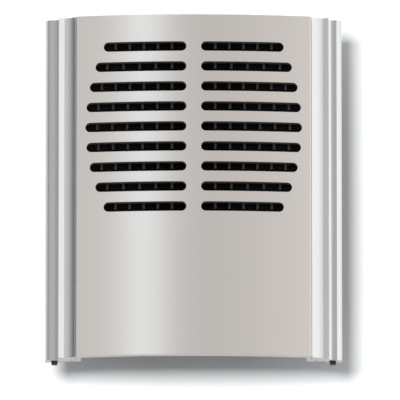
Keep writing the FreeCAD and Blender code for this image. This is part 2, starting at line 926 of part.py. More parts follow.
def make_tapping_screws(label, places, seat, length):
    """Pan head screws that cut their thread in the plastic bosses."""
    screws = Piece(label)
    radius = dim.tapping_radius
    head = dim.tapping_head_radius
    top = seat + dim.tapping_head_height
    point = seat - length
    for place in places:
        screws.turn(place, [
            (size(0), point), (radius / 2, point), (radius, point + radius),
            (radius, seat), (head, seat), (head, seat + dim.tapping_head_height / 2),
            (dim.tapping_face_radius, top), (size(0), top),
        ])
        cross_recess(screws, place, top)


def make_rail_screws():
    """Countersunk screws through the carrier's ears into the rails."""
    screws = Piece("rail_screws")
    radius = dim.rail_screw_radius
    taper = dim.rail_screw_head - radius
    for place in rail_screw_places:
        screws.turn(place, [
            (size(0), -dim.rail_screw_length), (radius, -dim.rail_screw_length),
            (radius, -taper), (dim.rail_screw_head, size(0)), (size(0), size(0)),
        ])
        cross_recess(screws, place, size(0))


def make_rear_cover():
    """Back shell with four screw posts and an open bay over the terminals."""
    cover = Piece("rear_cover")
    front = size(0)
    inside = cover_back - dim.cover_wall
    cover.pad("y", front, cover_back, chamfered(size(0)))
    cover.cut("y", front, inside, chamfered(dim.cover_wall))
    lip_inner = dim.cover_lip_step + dim.cover_lip_wall
    cover.pad("y", -dim.cover_lip_depth, dim.cover_lip_depth,
              chamfered(dim.cover_lip_step), chamfered(lip_inner))
    wall = bay_half + dim.bay_wall
    cover.pad("y", bay_floor, cover_back,
              rectangle((-wall, -cover_bottom), (wall, bay_top + dim.bay_wall)))
    cover.pad("y", front, cover_back, *[Circle(place, dim.post_radius) for place in post_places])
    cover.cut("y", bay_floor, cover_back,
              rectangle((-bay_half, -cover_bottom), (bay_half, bay_top)))
    cover.cut("y", dim.post_seat, cover_back,
              *[Circle(place, dim.tapping_head_radius + dim.running_gap) for place in post_places])
    cover.cut("y", front, dim.post_seat,
              *[Circle(place, dim.tapping_radius + dim.running_gap) for place in post_places])


# Loudspeaker

def make_speaker_gasket():
    outer = dim.roll_flange
    gasket = Piece("speaker_gasket")
    gasket.pad("y", -baffle_back, rim_front - dim.film,
               Circle(speech_centre, outer), Circle(speech_centre, outer - dim.gasket_width))


def make_speaker_basket():
    """Pressed steel frame: rim, straight wall, cone and floor, with four windows."""
    basket = Piece("speaker_basket")
    sheet_metal = dim.basket_sheet
    wall = dim.speaker_radius - dim.rim_width
    floor_front = basket_back - sheet_metal
    shoulder = basket_back - dim.basket_cone_run
    basket.turn(speech_centre, [
        (dim.speaker_radius, rim_front), (dim.speaker_radius, rim_back),
        (wall, rim_back), (wall, shoulder),
        (dim.basket_floor_radius, basket_back), (dim.basket_hole_radius, basket_back),
        (dim.basket_hole_radius, floor_front), (dim.basket_floor_radius, floor_front),
        (wall - sheet_metal, shoulder - sheet_metal), (wall - sheet_metal, rim_front),
    ])
    windows = []
    for across, along in ((1, 0), (-1, 0), (0, 1), (0, -1)):
        centre = (dim.basket_window_radius * across, dim.speech_level + dim.basket_window_radius * along)
        wide = dim.basket_window_deep if across else dim.basket_window_wide
        deep = dim.basket_window_wide if across else dim.basket_window_deep
        windows.append(square(centre, wide, deep))
    basket.cut("y", shoulder - sheet_metal, basket_back, *windows)


def make_speaker_surround():
    """Outer roll of the film, clamped on the rim and lapped over the cone."""
    surround = Piece("speaker_surround")
    film = dim.film
    middle = dim.roll_centre
    inner = dim.roll_radius
    outer = inner + film
    chord = root(outer * outer - film * film)
    back = rim_front
    front = rim_front - film
    edge = middle - inner - dim.cone_lap
    centre = (middle, back)
    surround.turn(speech_centre, [
        (dim.roll_flange, back), arc_to((middle + inner, back), centre),
        arc_to((middle, back - inner), centre), (middle - inner, back),
        (edge, back), (edge, front),
        arc_to((middle - chord, front), centre), arc_to((middle, back - outer), centre),
        (middle + chord, front), (dim.roll_flange, front),
    ])


def make_speaker_cone():
    """Moving film cone between the surround and the coil."""
    cone = Piece("speaker_cone")
    outer = dim.roll_centre - dim.roll_radius - dim.film / 2
    inner = outer - dim.cone_lap
    neck = dim.coil_inner_radius + dim.coil_wall
    back = rim_front + dim.film
    cone.turn(speech_centre, [
        (outer, rim_front), (outer, back), (inner, back),
        (neck, back + dim.cone_depth), (neck, back + dim.cone_depth - dim.film), (inner, rim_front),
    ])


def make_dust_cap():
    """Domed cap that closes the front of the voice coil."""
    cap = Piece("dust_cap")
    radius = dim.coil_inner_radius + dim.coil_wall
    seat = dim.coil_front
    edge = seat - dim.film
    crown = edge - dim.cap_rise
    sphere = (radius * radius + dim.cap_rise * dim.cap_rise) / (2 * dim.cap_rise)
    inner = dim.coil_inner_radius
    inner_sphere = (inner * inner + dim.cap_rise * dim.cap_rise) / (2 * dim.cap_rise)
    axis = size(0)
    cap.turn(speech_centre, [
        arc_to((axis, crown), (axis, crown + sphere)), (radius, edge), (radius, seat),
        arc_to((inner, seat), (axis, crown + dim.film + inner_sphere)), (axis, crown + dim.film),
    ])


def make_voice_coil():
    """Tube with its winding in the magnet's gap."""
    coil = Piece("voice_coil")
    inner = dim.coil_inner_radius
    tube = inner + dim.coil_wall
    wound = tube + dim.coil_winding
    end = dim.coil_front + dim.coil_length
    coil.turn(speech_centre, [
        (inner, dim.coil_front), (tube, dim.coil_front), (tube, end - dim.winding_length),
        (wound, end - dim.winding_length), (wound, end), (inner, end),
    ])


def make_magnet_system():
    """Top plate, ferrite ring and yoke with its pole."""
    centre = speech_centre
    plate_disc = rod("top_plate_disc", centre, dim.steel_radius, basket_back, top_plate_back)
    plate_bore = rod("top_plate_bore", centre, dim.gap_outer_radius, basket_back, top_plate_back)
    less("speaker_top_plate", plate_disc, plate_bore)
    ring = rod("magnet_disc", centre, dim.magnet_radius, top_plate_back, magnet_back)
    bore = rod("magnet_hole", centre, dim.magnet_bore, top_plate_back, magnet_back)
    less("speaker_magnet", ring, bore)
    yoke_disc = rod("yoke_disc", centre, dim.steel_radius, magnet_back, speaker_back)
    pole = rod("yoke_pole", centre, dim.pole_radius, basket_back, magnet_back)
    together("speaker_yoke", [yoke_disc, pole])


def make_speaker_tag():
    """Strip on the rim with two solder lugs."""
    tag = Piece("speaker_tag")
    outer = dim.speech_level - dim.speaker_radius
    front = rim_back + dim.tag_thickness
    middle = outer + dim.tag_depth / 2 + dim.fit_gap
    tag.pad("y", rim_back, front, square((size(0), middle), dim.tag_width, dim.tag_depth))
    tag.pad("y", front, front + dim.lug_length,
            *[square((side * dim.lug_spread, middle), dim.lug_width, dim.lug_thickness) for side in (-1, 1)])


def make_speaker_clips():
    """Four steel clips that hold the rim down on the gasket."""
    clips = Piece("speaker_clips")
    near = dim.speaker_radius - dim.clip_grip
    far = dim.clip_circle + dim.clip_tail
    half = dim.clip_width / 2
    top = rim_back + dim.clip_thickness
    for angle in clip_angles:
        outline = [
            around_speaker(angle, near, -half), around_speaker(angle, far, -half),
            around_speaker(angle, far, half), around_speaker(angle, near, half),
        ]
        hole = Circle(around_speaker(angle, dim.clip_circle), dim.tapping_radius + dim.running_gap)
        clips.pad("y", rim_back, top, outline, hole)


# Microphone

def make_microphone():
    """Electret capsule in a soft boot that keeps the loudspeaker's shake away from it."""
    centre = microphone_centre
    front = -baffle_back
    boot = Piece("microphone_boot")
    boot.turn(centre, [
        (dim.boot_hole_radius, front), (boot_radius, front), (boot_radius, front + dim.boot_length),
        (dim.capsule_radius + dim.fit_gap, front + dim.boot_length),
        (dim.capsule_radius + dim.fit_gap, front + dim.boot_floor),
        (dim.boot_hole_radius, front + dim.boot_floor),
    ])
    capsule = rod("microphone_capsule", centre, dim.capsule_radius,
                  front + dim.boot_floor, front + dim.boot_floor + dim.capsule_length)
    capsule.Label = "microphone_capsule"
    finished.append(capsule)


# Board and its parts

pole_numbers = range(int(DRIVING["poles"]))
block_half = (dim.pole_pitch * dim.poles) / 2 + dim.block_end_wall
block_front = -dim.board_bottom
block_rear = block_front + dim.block_depth
cell_floor = board_back + dim.block_floor
cell_roof = cell_floor + dim.cell_height
ledge_top = cell_roof + dim.ledge_thickness
block_top = board_back + dim.block_height
clamp_level = block_front + dim.clamp_screw_inset
cell_front = block_front + dim.block_front_wall
cell_rear = block_rear - dim.block_back_wall
cage_rest = cell_floor + dim.cage_stop_gap
bar_front = cage_rest + dim.cage_travel + dim.cage_wall + dim.fit_gap
bar_back = bar_front + dim.bar_thickness
pin_middle = cell_rear - dim.pin_width / 2


def pole_across(pole):
    return (pole - (dim.poles - 1) / 2) * dim.pole_pitch


def make_main_board():
    """Board on four bosses, with its lower corners cut to the cover's and holes for screws and pins."""
    board = Piece("main_board")
    holes = [Circle(place, dim.tapping_radius + dim.running_gap) for place in board_screw_places]
    pins = [
        square((pole_across(pole), pin_middle), dim.pin_width + 2 * dim.slide_gap,
               dim.pin_width + 2 * dim.slide_gap)
        for pole in pole_numbers
    ]
    inside = dim.cover_wall + dim.board_side_gap
    corner_reach = cover_half + cover_bottom - dim.cover_corner - inside * math.sqrt(2)
    corner = board_half + dim.board_bottom - corner_reach
    board.pad("y", board_front, board_back, [
        (corner - board_half, -dim.board_bottom), (board_half - corner, -dim.board_bottom),
        (board_half, corner - dim.board_bottom), (board_half, board_top),
        (-board_half, board_top), (-board_half, corner - dim.board_bottom),
    ], *holes, *pins)


def make_terminal_block():
    """Housing with a cell for each pole, open to the wire in front and to the driver behind."""
    housing = Piece("terminal_block")
    poles = [pole_across(pole) for pole in pole_numbers]
    housing.pad("y", board_back, block_top,
                rectangle((-block_half, block_front), (block_half, block_rear)))
    housing.cut("y", cell_floor, cell_roof, *[
        rectangle((x - dim.cell_width / 2, cell_front), (x + dim.cell_width / 2, cell_rear)) for x in poles])
    housing.cut("y", cell_roof, ledge_top,
                *[Circle((x, clamp_level), dim.clamp_screw_radius + dim.running_gap) for x in poles])
    housing.cut("y", ledge_top, block_top,
                *[Circle((x, clamp_level), dim.clamp_head_radius + dim.running_gap) for x in poles])
    pin_slot = dim.pin_width + 2 * dim.slide_gap
    housing.cut("y", board_back, cell_floor,
                *[square((x, pin_middle), pin_slot, pin_slot) for x in poles])
    entry_floor = cage_rest + dim.cage_wall
    housing.cut("z", block_front, cell_front, *[
        rectangle((x - dim.entry_width / 2, entry_floor),
                  (x + dim.entry_width / 2, entry_floor + dim.entry_height)) for x in poles])


def make_terminal_screw(pole):
    """Clamp screw, which turns in place under its ledge."""
    screw = Piece(f"terminal_screw_{pole + 1}")
    radius = dim.clamp_screw_radius
    head = dim.clamp_head_radius
    seat = ledge_top + dim.fit_gap
    top = seat + dim.clamp_head_height
    axis = size(0)
    screw.turn((axis, axis), [
        (axis, bar_back + dim.fit_gap), (radius, bar_back + dim.fit_gap),
        (radius, seat), (head, seat), (head, top), (axis, top),
    ])
    screw.cut("y", top - dim.drive_depth, top, square((axis, axis), 2 * head, dim.drive_width))
    screw.place(x=pole_across(pole), z=clamp_level)


def make_terminal_cage(pole):
    """Rising cage: the screw draws it up, and it lifts the wire against the bar."""
    cage = Piece(f"terminal_cage_{pole + 1}")
    half = dim.cell_width / 2 - dim.slide_gap
    deep = dim.cage_depth / 2
    top = cage_rest + dim.cage_height
    axis = size(0)
    cage.pad("y", cage_rest, top, rectangle((-half, -deep), (half, deep)))
    window = half - dim.cage_wall
    cage.cut("z", -deep, deep,
             rectangle((-window, cage_rest + dim.cage_wall), (window, top - dim.cage_top)))
    cage.cut("y", top - dim.cage_top, top,
             Circle((axis, axis), dim.clamp_screw_radius + dim.fit_gap + dim.fit_gap / 2))
    cage.place(x=pole_across(pole), z=clamp_level)


def make_terminal_bars():
    """Fixed tinned bars inside the cages, each with its pin through the board."""
    bars = Piece("terminal_bars")
    first = pole_across(0)
    near = cell_front + dim.slide_gap * 3
    bar = bars.pad("y", bar_front, bar_back,
                   rectangle((first - dim.bar_width / 2, near), (first + dim.bar_width / 2, cell_rear)))
    tail = board_front - dim.pin_tail
    pin = bars.pad("y", tail, bar_front, square((first, pin_middle), dim.pin_width, dim.pin_width))
    bars.repeat([bar, pin], "X_Axis", dim.pole_pitch, dim.poles)


def make_trimmer(body_label, rotor_label, side):
    """Trimmer: a body on the board and a slotted rotor that a driver turns."""
    centre = (side * (block_half + dim.trimmer_gap + dim.trimmer_side / 2), dim.trimmer_rise - dim.board_bottom)
    top = board_back + dim.trimmer_height
    seat = board_back + dim.rotor_seat
    rotor_bore = dim.rotor_radius + dim.running_gap
    case = Piece(body_label)
    case.pad("y", board_back, top, square(centre, dim.trimmer_side, dim.trimmer_side))
    case.cut("y", seat, top, Circle(centre, rotor_bore))
    rotor = Piece(rotor_label)
    face = top + dim.rotor_proud
    rotor.pad("y", seat + dim.fit_gap, face, Circle(centre, dim.rotor_radius))
    rotor.cut("y", face - dim.drive_depth, face,
              square(centre, dim.drive_width, dim.rotor_slot_length))


def make_chip(label, centre, length, pairs, upright):
    """Moulded chip with two rows of pins, lying along X or standing along Z."""
    chip = Piece(label)
    x, z = centre
    low = board_back + dim.chip_standoff
    wide, deep = (dim.chip_width, length) if upright else (length, dim.chip_width)
    chip.pad("y", low, low + dim.chip_height, square(centre, wide, deep))
    row = dim.chip_width / 2 + dim.chip_pin_thickness / 2
    start = dim.chip_pin_pitch * (pairs - 1) / 2
    across = dim.chip_pin_thickness if upright else dim.chip_pin_width
    along = dim.chip_pin_width if upright else dim.chip_pin_thickness
    first = [
        square((x + side * row, z - start) if upright else (x - start, z + side * row), across, along)
        for side in (-1, 1)
    ]
    pins = chip.pad("y", board_back, low + dim.chip_pin_rise, *first)
    chip.repeat([pins], "Z_Axis" if upright else "X_Axis", dim.chip_pin_pitch, pairs)


def make_electrolytic_capacitors():
    """Round capacitors on end, each with the crimp round its foot: two large, two small."""
    cans = Piece("electrolytic_capacitors")
    groove = dim.can_groove
    top = board_back + dim.can_height
    crimp = board_back + dim.can_crimp
    edge = board_half - dim.small_can_inset
    large_level = board_top - dim.large_can_drop
    cases = (
        (-dim.large_can_across, large_level, dim.large_can_radius),
        (size(0), large_level, dim.middle_can_radius),
        (edge, board_top - dim.small_can_drop, dim.small_can_radius),
        (edge, board_top - dim.small_can_drop - dim.small_can_pitch, dim.small_can_radius),
    )
    for x, z, radius in cases:
        cans.turn((x, z), [
            (size(0), board_back), (radius, board_back), (radius, crimp - groove),
            (radius - groove, crimp), (radius, crimp + groove),
            (radius, top - groove), (radius - groove, top), (size(0), top),
        ])


def make_film_capacitors():
    """Three boxes in a row beside the large cans."""
    boxes = []
    low = dim.middle_can_radius + dim.film_box_gap
    for number in range(int(DRIVING["film_boxes"])):
        top = board_top - dim.film_box_drop - number * dim.film_box_pitch
        boxes.append(block(f"film_box_{number + 1}", (low, board_back, top - dim.film_box_thickness),
                           (low + dim.film_box_width, board_back + dim.film_box_height, top)))
    together("film_capacitors", boxes)


def make_axial_parts(label, side, radius, length):
    """Two small round parts lying along Z, each with its leads bent down to the board."""
    group = Piece(label)
    lead = dim.axial_lead_radius
    level = board_back + radius + lead
    z = dim.axial_rise - dim.board_bottom
    for number in range(2):
        x = side * (board_half - dim.axial_inset - number * dim.axial_pitch)
        group.pad("z", z - length / 2, z + length / 2, Circle((x, level), radius))
        for end in (-1, 1):
            shoulder = z + end * length / 2
            foot = shoulder + end * dim.axial_lead_run
            low, high = sorted((shoulder, foot + end * lead), key=lambda place: place.value)
            group.pad("z", low, high, Circle((x, level), lead))
            group.pad("y", board_back, level, Circle((x, foot), lead))


def make_line_transformer():
    """Speech transformer: a laminated core, and a wound bobbin round its middle leg."""
    x = dim.core_inset - board_half
    z = board_top - dim.core_drop
    front = board_back + dim.core_rise
    back = front + dim.core_stack
    core = Piece("transformer_core")
    window_wide = (dim.core_width - dim.core_leg) / 2 - dim.core_rim
    window_deep = dim.core_depth - 2 * dim.core_rim
    offset = (dim.core_leg + window_wide) / 2
    core.pad("y", front, back, square((x, z), dim.core_width, dim.core_depth),
             *[square((x + side * offset, z), window_wide, window_deep) for side in (-1, 1)])
    bobbin = Piece("transformer_bobbin")
    gap = dim.fit_gap
    outer = dim.core_leg / 2 + window_wide - gap
    deep = window_deep / 2 - gap
    bobbin.pad("y", board_back, back + dim.coil_overhang,
               square((x, z), 2 * outer, 2 * deep))
    bobbin.cut("y", front - gap, back + gap, square((x, z), dim.core_leg + 2 * gap, 2 * deep))


def header_place(side):
    return (side * (board_half - dim.header_inset), board_top - dim.header_drop)


def make_connector(header_label, plug_label, side):
    """Header on the board and the plug pushed into it."""
    x, z = header_place(side)
    header = Piece(header_label)
    rim = board_back + dim.header_height
    cavity = board_back + dim.header_floor
    inner_wide = dim.header_width - 2 * dim.header_wall
    inner_deep = dim.header_depth - 2 * dim.header_wall
    header.pad("y", board_back, rim, square((x, z), dim.header_width, dim.header_depth))
    header.cut("y", cavity, rim, square((x, z), inner_wide, inner_deep))
    plug = Piece(plug_label)
    gap = 2 * dim.fit_gap
    plug.pad("y", cavity, cavity + dim.plug_length,
             square((x, z), inner_wide - gap, inner_deep - gap))


# Wires that run inside the cover, held at both ends

def rounded_path(points):
    """Straight runs joined by tangent arcs, as large as the runs allow."""
    share = 0.45
    edges = []
    radii = []
    at = points[0]
    for before, corner, after in zip(points, points[1:], points[2:]):
        into = corner - before
        out = after - corner
        turn = into.getAngle(out)
        setback = share * min(into.Length, out.Length)
        radius = setback / math.tan(turn / 2)
        into.normalize()
        out.normalize()
        inward = out - into
        inward.normalize()
        start = corner - into * setback
        end = corner + out * setback
        middle = corner + inward * (radius / math.cos(turn / 2) - radius)
        edges.append(Part.LineSegment(at, start).toShape())
        edges.append(Part.Arc(start, middle, end).toShape())
        radii.append(radius)
        at = end
    edges.append(Part.LineSegment(at, points[-1]).toShape())
    return Part.Wire(edges), radii


def tube(points, diameter):
    """A round wire along a rounded path, with its volume compared."""
    path, radii = rounded_path(points)
    direction = points[1] - points[0]
    ring = Part.Wire(Part.Circle(points[0], direction, diameter / 2).toShape())
    solid = path.makePipeShell([ring], True, False)
    expected = math.pi * diameter ** 2 / 4 * path.Length
    if abs(solid.Volume - expected) > 0.02 * expected:
        raise RuntimeError(f"wire volume {solid.Volume:.2f} instead of {expected:.2f}")
    return solid, radii, path.Length


def make_leads(label, routes):
    """A pair of wires, as one sub-part with a solid for each wire."""
    diameter = dim.wire_diameter.value
    solids = []
    for route in routes:
        points = [Vector(*[size(part).value for part in point]) for point in route]
        solid, radii, length = tube(points, diameter)
        solids.append(solid)
        listed = ", ".join(f"{radius:.1f}" for radius in radii)
        print(f"{label}: {length:.1f} mm long, arc radii {listed} mm")
    leads = doc.addObject("Part::Feature", label)
    leads.Shape = Part.makeCompound(solids)
    leads.Placement = FreeCAD.Placement()
    leads.Label = label
    finished.append(leads)


def make_speaker_leads():
    """From the plug over the board's top edge to the lugs on the rim, with a free bend at each end."""
    start_y = board_back + dim.header_floor + dim.plug_length
    lug_end = rim_back + dim.tag_thickness + dim.lug_length
    lug_z = dim.speech_level - dim.speaker_radius + dim.tag_depth / 2 + dim.fit_gap
    middle, z = header_place(1)
    routes = []
    for side in (-1, 1):
        x = middle + side * dim.wire_pitch / 2
        lug_x = side * dim.lug_spread
        routes.append([
            (x, start_y, z), (x, start_y + 3.2, z), (x - 2.2, start_y + 5.0, z + 1.6),
            (x - 6.2, start_y + 4.2, z + 5.4), ((x + lug_x) / 2 - 0.5, start_y + 1.4, lug_z - 1.2),
            (lug_x + 2.6, lug_end + 5.2, lug_z), (lug_x, lug_end + 3.0, lug_z), (lug_x, lug_end, lug_z),
        ])
    make_leads("speaker_leads", routes)


def make_microphone_leads():
    """From the back of the capsule to the plug beside it, with a free bend at each end."""
    x0, z0 = microphone_centre
    start_y = dim.boot_floor - baffle_back + dim.capsule_length
    plug_y = board_back + dim.header_floor + dim.plug_length
    middle, z = header_place(-1)
    routes = []
    for side in (-1, 1):
        x = x0 + side * dim.wire_pitch / 2
        end_x = middle + side * dim.wire_pitch / 2
        routes.append([
            (x, start_y, z0), (x, start_y + 6.4, z0), (x + 2.2, start_y + 10.2, z0 - 3.0),
            (end_x - 1.2, plug_y + 4.5, z + 1.7), (end_x, plug_y + 2.7, z), (end_x, plug_y, z),
        ])
    make_leads("microphone_leads", routes)


# Build

make_front_plate()
make_side_rail("side_rail_left", -1)
make_side_rail("side_rail_right", 1)
make_rail_seal("rail_seal_left", -1)
make_rail_seal("rail_seal_right", 1)
make_slot_grille()
make_acoustic_membrane()
make_carrier()
make_frame_inserts()
make_rail_screws()
make_rear_cover()
make_tapping_screws("cover_screws", post_places, dim.post_seat, dim.post_seat + dim.tapping_bite)
make_speaker_gasket()
make_speaker_basket()
make_speaker_surround()
make_speaker_cone()
make_dust_cap()
make_voice_coil()
make_magnet_system()
make_speaker_tag()
make_speaker_clips()
clip_top = rim_back + dim.clip_thickness
make_tapping_screws("clip_screws", clip_places, clip_top, dim.clip_thickness + dim.tapping_bite)
make_microphone()
make_main_board()
make_tapping_screws("board_screws", board_screw_places, board_back, dim.board_thickness + dim.tapping_bite)
make_terminal_block()
for pole in pole_numbers:
    make_terminal_screw(pole)
    make_terminal_cage(pole)
make_terminal_bars()
make_trimmer("volume_trimmer", "volume_rotor", -1)
make_trimmer("microphone_trimmer", "microphone_rotor", 1)
make_chip("speech_chip", (size(0), board_top - dim.speech_chip_drop), dim.speech_chip_length,
          dim.speech_chip_pairs, upright=False)
make_chip("amplifier_chip", (board_half - dim.amplifier_inset, board_top - dim.amplifier_drop),
          dim.amplifier_length, dim.amplifier_pairs, upright=True)
make_line_transformer()
make_electrolytic_capacitors()
make_film_capacitors()
make_axial_parts("resistors", 1, dim.resistor_radius, dim.resistor_length)
make_axial_parts("diodes", -1, dim.diode_radius, dim.diode_length)
make_connector("speaker_header", "speaker_plug", 1)
make_connector("microphone_header", "microphone_plug", -1)
make_speaker_leads()
make_microphone_leads()

doc.recompute()

# Check the document before anything is written

for thing in doc.Objects:
    if "Invalid" in thing.State or "Error" in thing.State:
        raise RuntimeError(f"{thing.Label} failed: {thing.State}")
    if thing.isDerivedFrom("Sketcher::SketchObject") and not thing.FullyConstrained:
        raise RuntimeError(f"{thing.Label} isn't fully constrained")
for feature in cuts:
    if feature.Shape.Volume > feature.BaseFeature.Shape.Volume - 1e-3:
        raise RuntimeError(f"{feature.Label} cuts nothing")
for part in finished:
    if part.Shape.isNull() or not part.Shape.isValid():
        raise RuntimeError(f"{part.Label} has no valid shape")

os.makedirs("parts", exist_ok=True)
for part in finished:
    part.Shape.exportStep(f"parts/{part.Label}.step")
    print(f"{part.Label}: {len(part.Shape.Solids)} solids, {part.Shape.Volume:.1f} mm3")
print(f"{len(finished)} sub-parts")
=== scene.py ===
"""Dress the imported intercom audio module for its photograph: front, rails, finishes, light and camera."""
import json
import logging
import math
from dataclasses import dataclass
from enum import Enum
from typing import Any, Callable, Iterable

import bmesh
import bpy
import numpy as np
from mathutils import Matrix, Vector


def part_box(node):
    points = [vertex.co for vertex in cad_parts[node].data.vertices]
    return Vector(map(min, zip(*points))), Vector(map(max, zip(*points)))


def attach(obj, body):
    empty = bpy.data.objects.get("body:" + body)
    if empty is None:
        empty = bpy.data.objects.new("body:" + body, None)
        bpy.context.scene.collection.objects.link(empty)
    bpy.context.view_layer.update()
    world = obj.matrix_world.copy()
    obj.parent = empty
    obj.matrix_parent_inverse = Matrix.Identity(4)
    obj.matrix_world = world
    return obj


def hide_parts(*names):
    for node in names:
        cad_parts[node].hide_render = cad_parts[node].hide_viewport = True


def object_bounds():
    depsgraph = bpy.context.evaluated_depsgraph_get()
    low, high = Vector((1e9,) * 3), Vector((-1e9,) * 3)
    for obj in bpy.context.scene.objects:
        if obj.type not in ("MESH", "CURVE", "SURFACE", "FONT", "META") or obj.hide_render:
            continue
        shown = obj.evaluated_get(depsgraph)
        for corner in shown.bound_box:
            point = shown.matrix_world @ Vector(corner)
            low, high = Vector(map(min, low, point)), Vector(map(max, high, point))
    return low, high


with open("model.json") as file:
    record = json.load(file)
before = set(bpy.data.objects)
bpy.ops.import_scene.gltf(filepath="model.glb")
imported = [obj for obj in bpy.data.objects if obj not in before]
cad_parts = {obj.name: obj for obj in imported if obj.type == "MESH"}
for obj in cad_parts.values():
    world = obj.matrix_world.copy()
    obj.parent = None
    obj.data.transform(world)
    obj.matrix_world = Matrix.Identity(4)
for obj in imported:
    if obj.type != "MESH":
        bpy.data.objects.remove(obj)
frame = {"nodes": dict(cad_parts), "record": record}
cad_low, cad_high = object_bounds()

MM = 0.001
MERGE = 0.002 * MM
# A wave texture of scale 1 repeats every 0.314 metres
WAVE_LENGTH = 0.314
# Face attribute for a duller finish, which also sets painted shade on cut faces and in recesses
DULL_AND_SHADE = "dull"
PLATE_FINISH = "anodised_front"
RAIL_FINISH = "anodised_rail"
log = logging.getLogger("audio_module")


class Axis(Enum):
    """Direction that a banded pattern runs across."""

    X = "X"
    Y = "Y"
    Z = "Z"


# Shader nodes

class Value:
    """A number socket that arithmetic adds Math nodes to."""

    def __init__(self, tree: "Tree", socket: bpy.types.NodeSocket) -> None:
        """Keep the tree and the socket.

        Args:
            tree: the tree that the socket belongs to.
            socket: the output that carries the number.
        """
        self.tree = tree
        self.socket = socket

    def _combine(self, operation: str, first: Any, second: Any) -> "Value":
        """Add one Math node.

        Args:
            operation: the Math node's operation.
            first: a value or a number.
            second: a value or a number.

        Returns:
            The node's result.
        """
        return self.tree.number("ShaderNodeMath", {"operation": operation}, {0: first, 1: second})

    def __add__(self, other: Any) -> "Value":
        """Sum of two values."""
        return self._combine("ADD", self, other)

    __radd__ = __add__

    def __sub__(self, other: Any) -> "Value":
        """Difference of two values."""
        return self._combine("SUBTRACT", self, other)

    def __rsub__(self, other: Any) -> "Value":
        """Difference, with this value taken away."""
        return self._combine("SUBTRACT", other, self)

    def __mul__(self, other: Any) -> "Value":
        """Product of two values."""
        return self._combine("MULTIPLY", self, other)

    __rmul__ = __mul__

    def above(self, level: float) -> "Value":
        """One where the value is greater than a level, else zero."""
        return self._combine("GREATER_THAN", self, level)

    def larger(self, other: Any) -> "Value":
        """The larger of two values."""
        return self._combine("MAXIMUM", self, other)


class Tree:
    """A node tree, with one method that adds any node."""

    def __init__(self, nodes: bpy.types.NodeTree) -> None:
        """Empty the tree.

        Args:
            nodes: the node tree of a material or a world.
        """
        self.nodes = nodes
        self.nodes.nodes.clear()

    def add(self, kind: str, settings: dict[str, Any] | None = None,
            sockets: dict[Any, Any] | None = None) -> bpy.types.Node:
        """Add a node, set it up, and fill its sockets.

        Args:
            kind: the node's type.
            settings: attributes of the node, such as an operation, or the stops of a ramp.
            sockets: a value, node output or plain number for each input, by name or number.

        Returns:
            The new node.
        """
        node = self.nodes.nodes.new(kind)
        for name, setting in (settings or {}).items():
            if name == "stops":
                self._stops(node.color_ramp.elements, setting)
            else:
                setattr(node, name, setting)
        for name, given in (sockets or {}).items():
            given = given.socket if isinstance(given, Value) else given
            if isinstance(given, bpy.types.NodeSocket):
                self.nodes.links.new(given, node.inputs[name])
            else:
                node.inputs[name].default_value = given
        return node

    @staticmethod
    def _stops(elements: bpy.types.ColorRampElements, stops: Iterable[tuple[float, tuple]]) -> None:
        """Set the stops of a colour ramp.

        Args:
            elements: the ramp's elements.
            stops: a position and a colour for each stop.
        """
        for index, (position, colour) in enumerate(stops):
            element = elements[index] if index < len(elements) else elements.new(position)
            element.position = position
            element.color = (*colour, 1.0)

    def number(self, kind: str, settings: dict[str, Any] | None = None,
               sockets: dict[Any, Any] | None = None, output: Any = 0) -> Value:
        """Add a node and take one of its outputs as a value."""
        return Value(self, self.add(kind, settings, sockets).outputs[output])

    def place(self, stretch: tuple[float, float, float] = (1.0, 1.0, 1.0),
              upright: bool = False) -> bpy.types.NodeSocket:
        """Object coordinates, scaled along each axis.

        Args:
            stretch: scale along X, Y and Z.
            upright: whether the X and Z plane is turned into the plane of a flat pattern.

        Returns:
            The scaled coordinates.
        """
        coordinates = self.add("ShaderNodeTexCoord").outputs["Object"]
        turn = (math.radians(90.0) if upright else 0.0, 0.0, 0.0)
        sockets = {"Vector": coordinates, "Rotation": turn, "Scale": stretch}
        return self.add("ShaderNodeMapping", None, sockets).outputs[0]

    def noise(self, per_metre: float, detail: float = 3.0,
              stretch: tuple[float, float, float] = (1.0, 1.0, 1.0)) -> Value:
        """Noise around zero, from -0.5 to 0.5.

        Args:
            per_metre: how many patches there are to a metre.
            detail: octaves of finer noise.
            stretch: scale along each axis, below one to draw the noise out.

        Returns:
            The noise.
        """
        sockets = {"Vector": self.place(stretch), "Scale": per_metre, "Detail": detail}
        return self.number("ShaderNodeTexNoise", None, sockets) - 0.5

    def tint(self, factor: Any, first: Any, second: Any) -> bpy.types.NodeSocket:
        """Mix two colours, which are inputs 6 and 7 and output 2 of the Mix node.

        Args:
            factor: share of the second colour.
            first: colour at zero, as three numbers or a socket.
            second: colour at one, as three numbers or a socket.

        Returns:
            The mixed colour.
        """
        first, second = ((*given, 1.0) if isinstance(given, tuple) else given for given in (first, second))
        return self.add("ShaderNodeMix", {"data_type": "RGBA"}, {0: factor, 6: first, 7: second}).outputs[2]

    def bands(self, per_metre: float, axis: Axis) -> Value:
        """Smooth waves across one axis, from zero to one.

        Args:
            per_metre: how many waves there are to a metre.
            axis: direction that they follow each other in.

        Returns:
            The waves.
        """
        settings = {"wave_type": "BANDS", "bands_direction": axis.value}
        sockets = {"Vector": self.place(), "Scale": per_metre * WAVE_LENGTH}
        return self.number("ShaderNodeTexWave", settings, sockets, 1)

    def bump(self, height: Value, depth: float) -> bpy.types.NodeSocket:
        """Bump from a height.

        Args:
            height: the height, about one unit high.
            depth: metres that one unit of height stands for.

        Returns:
            The bumped normal.
        """
        return self.add("ShaderNodeBump", None, {"Distance": depth, "Height": height}).outputs[0]

    def surface(self, shader: bpy.types.Node) -> None:
        """Let a shader be the material's surface."""
        self.add("ShaderNodeOutputMaterial", None, {"Surface": shader.outputs[0]})


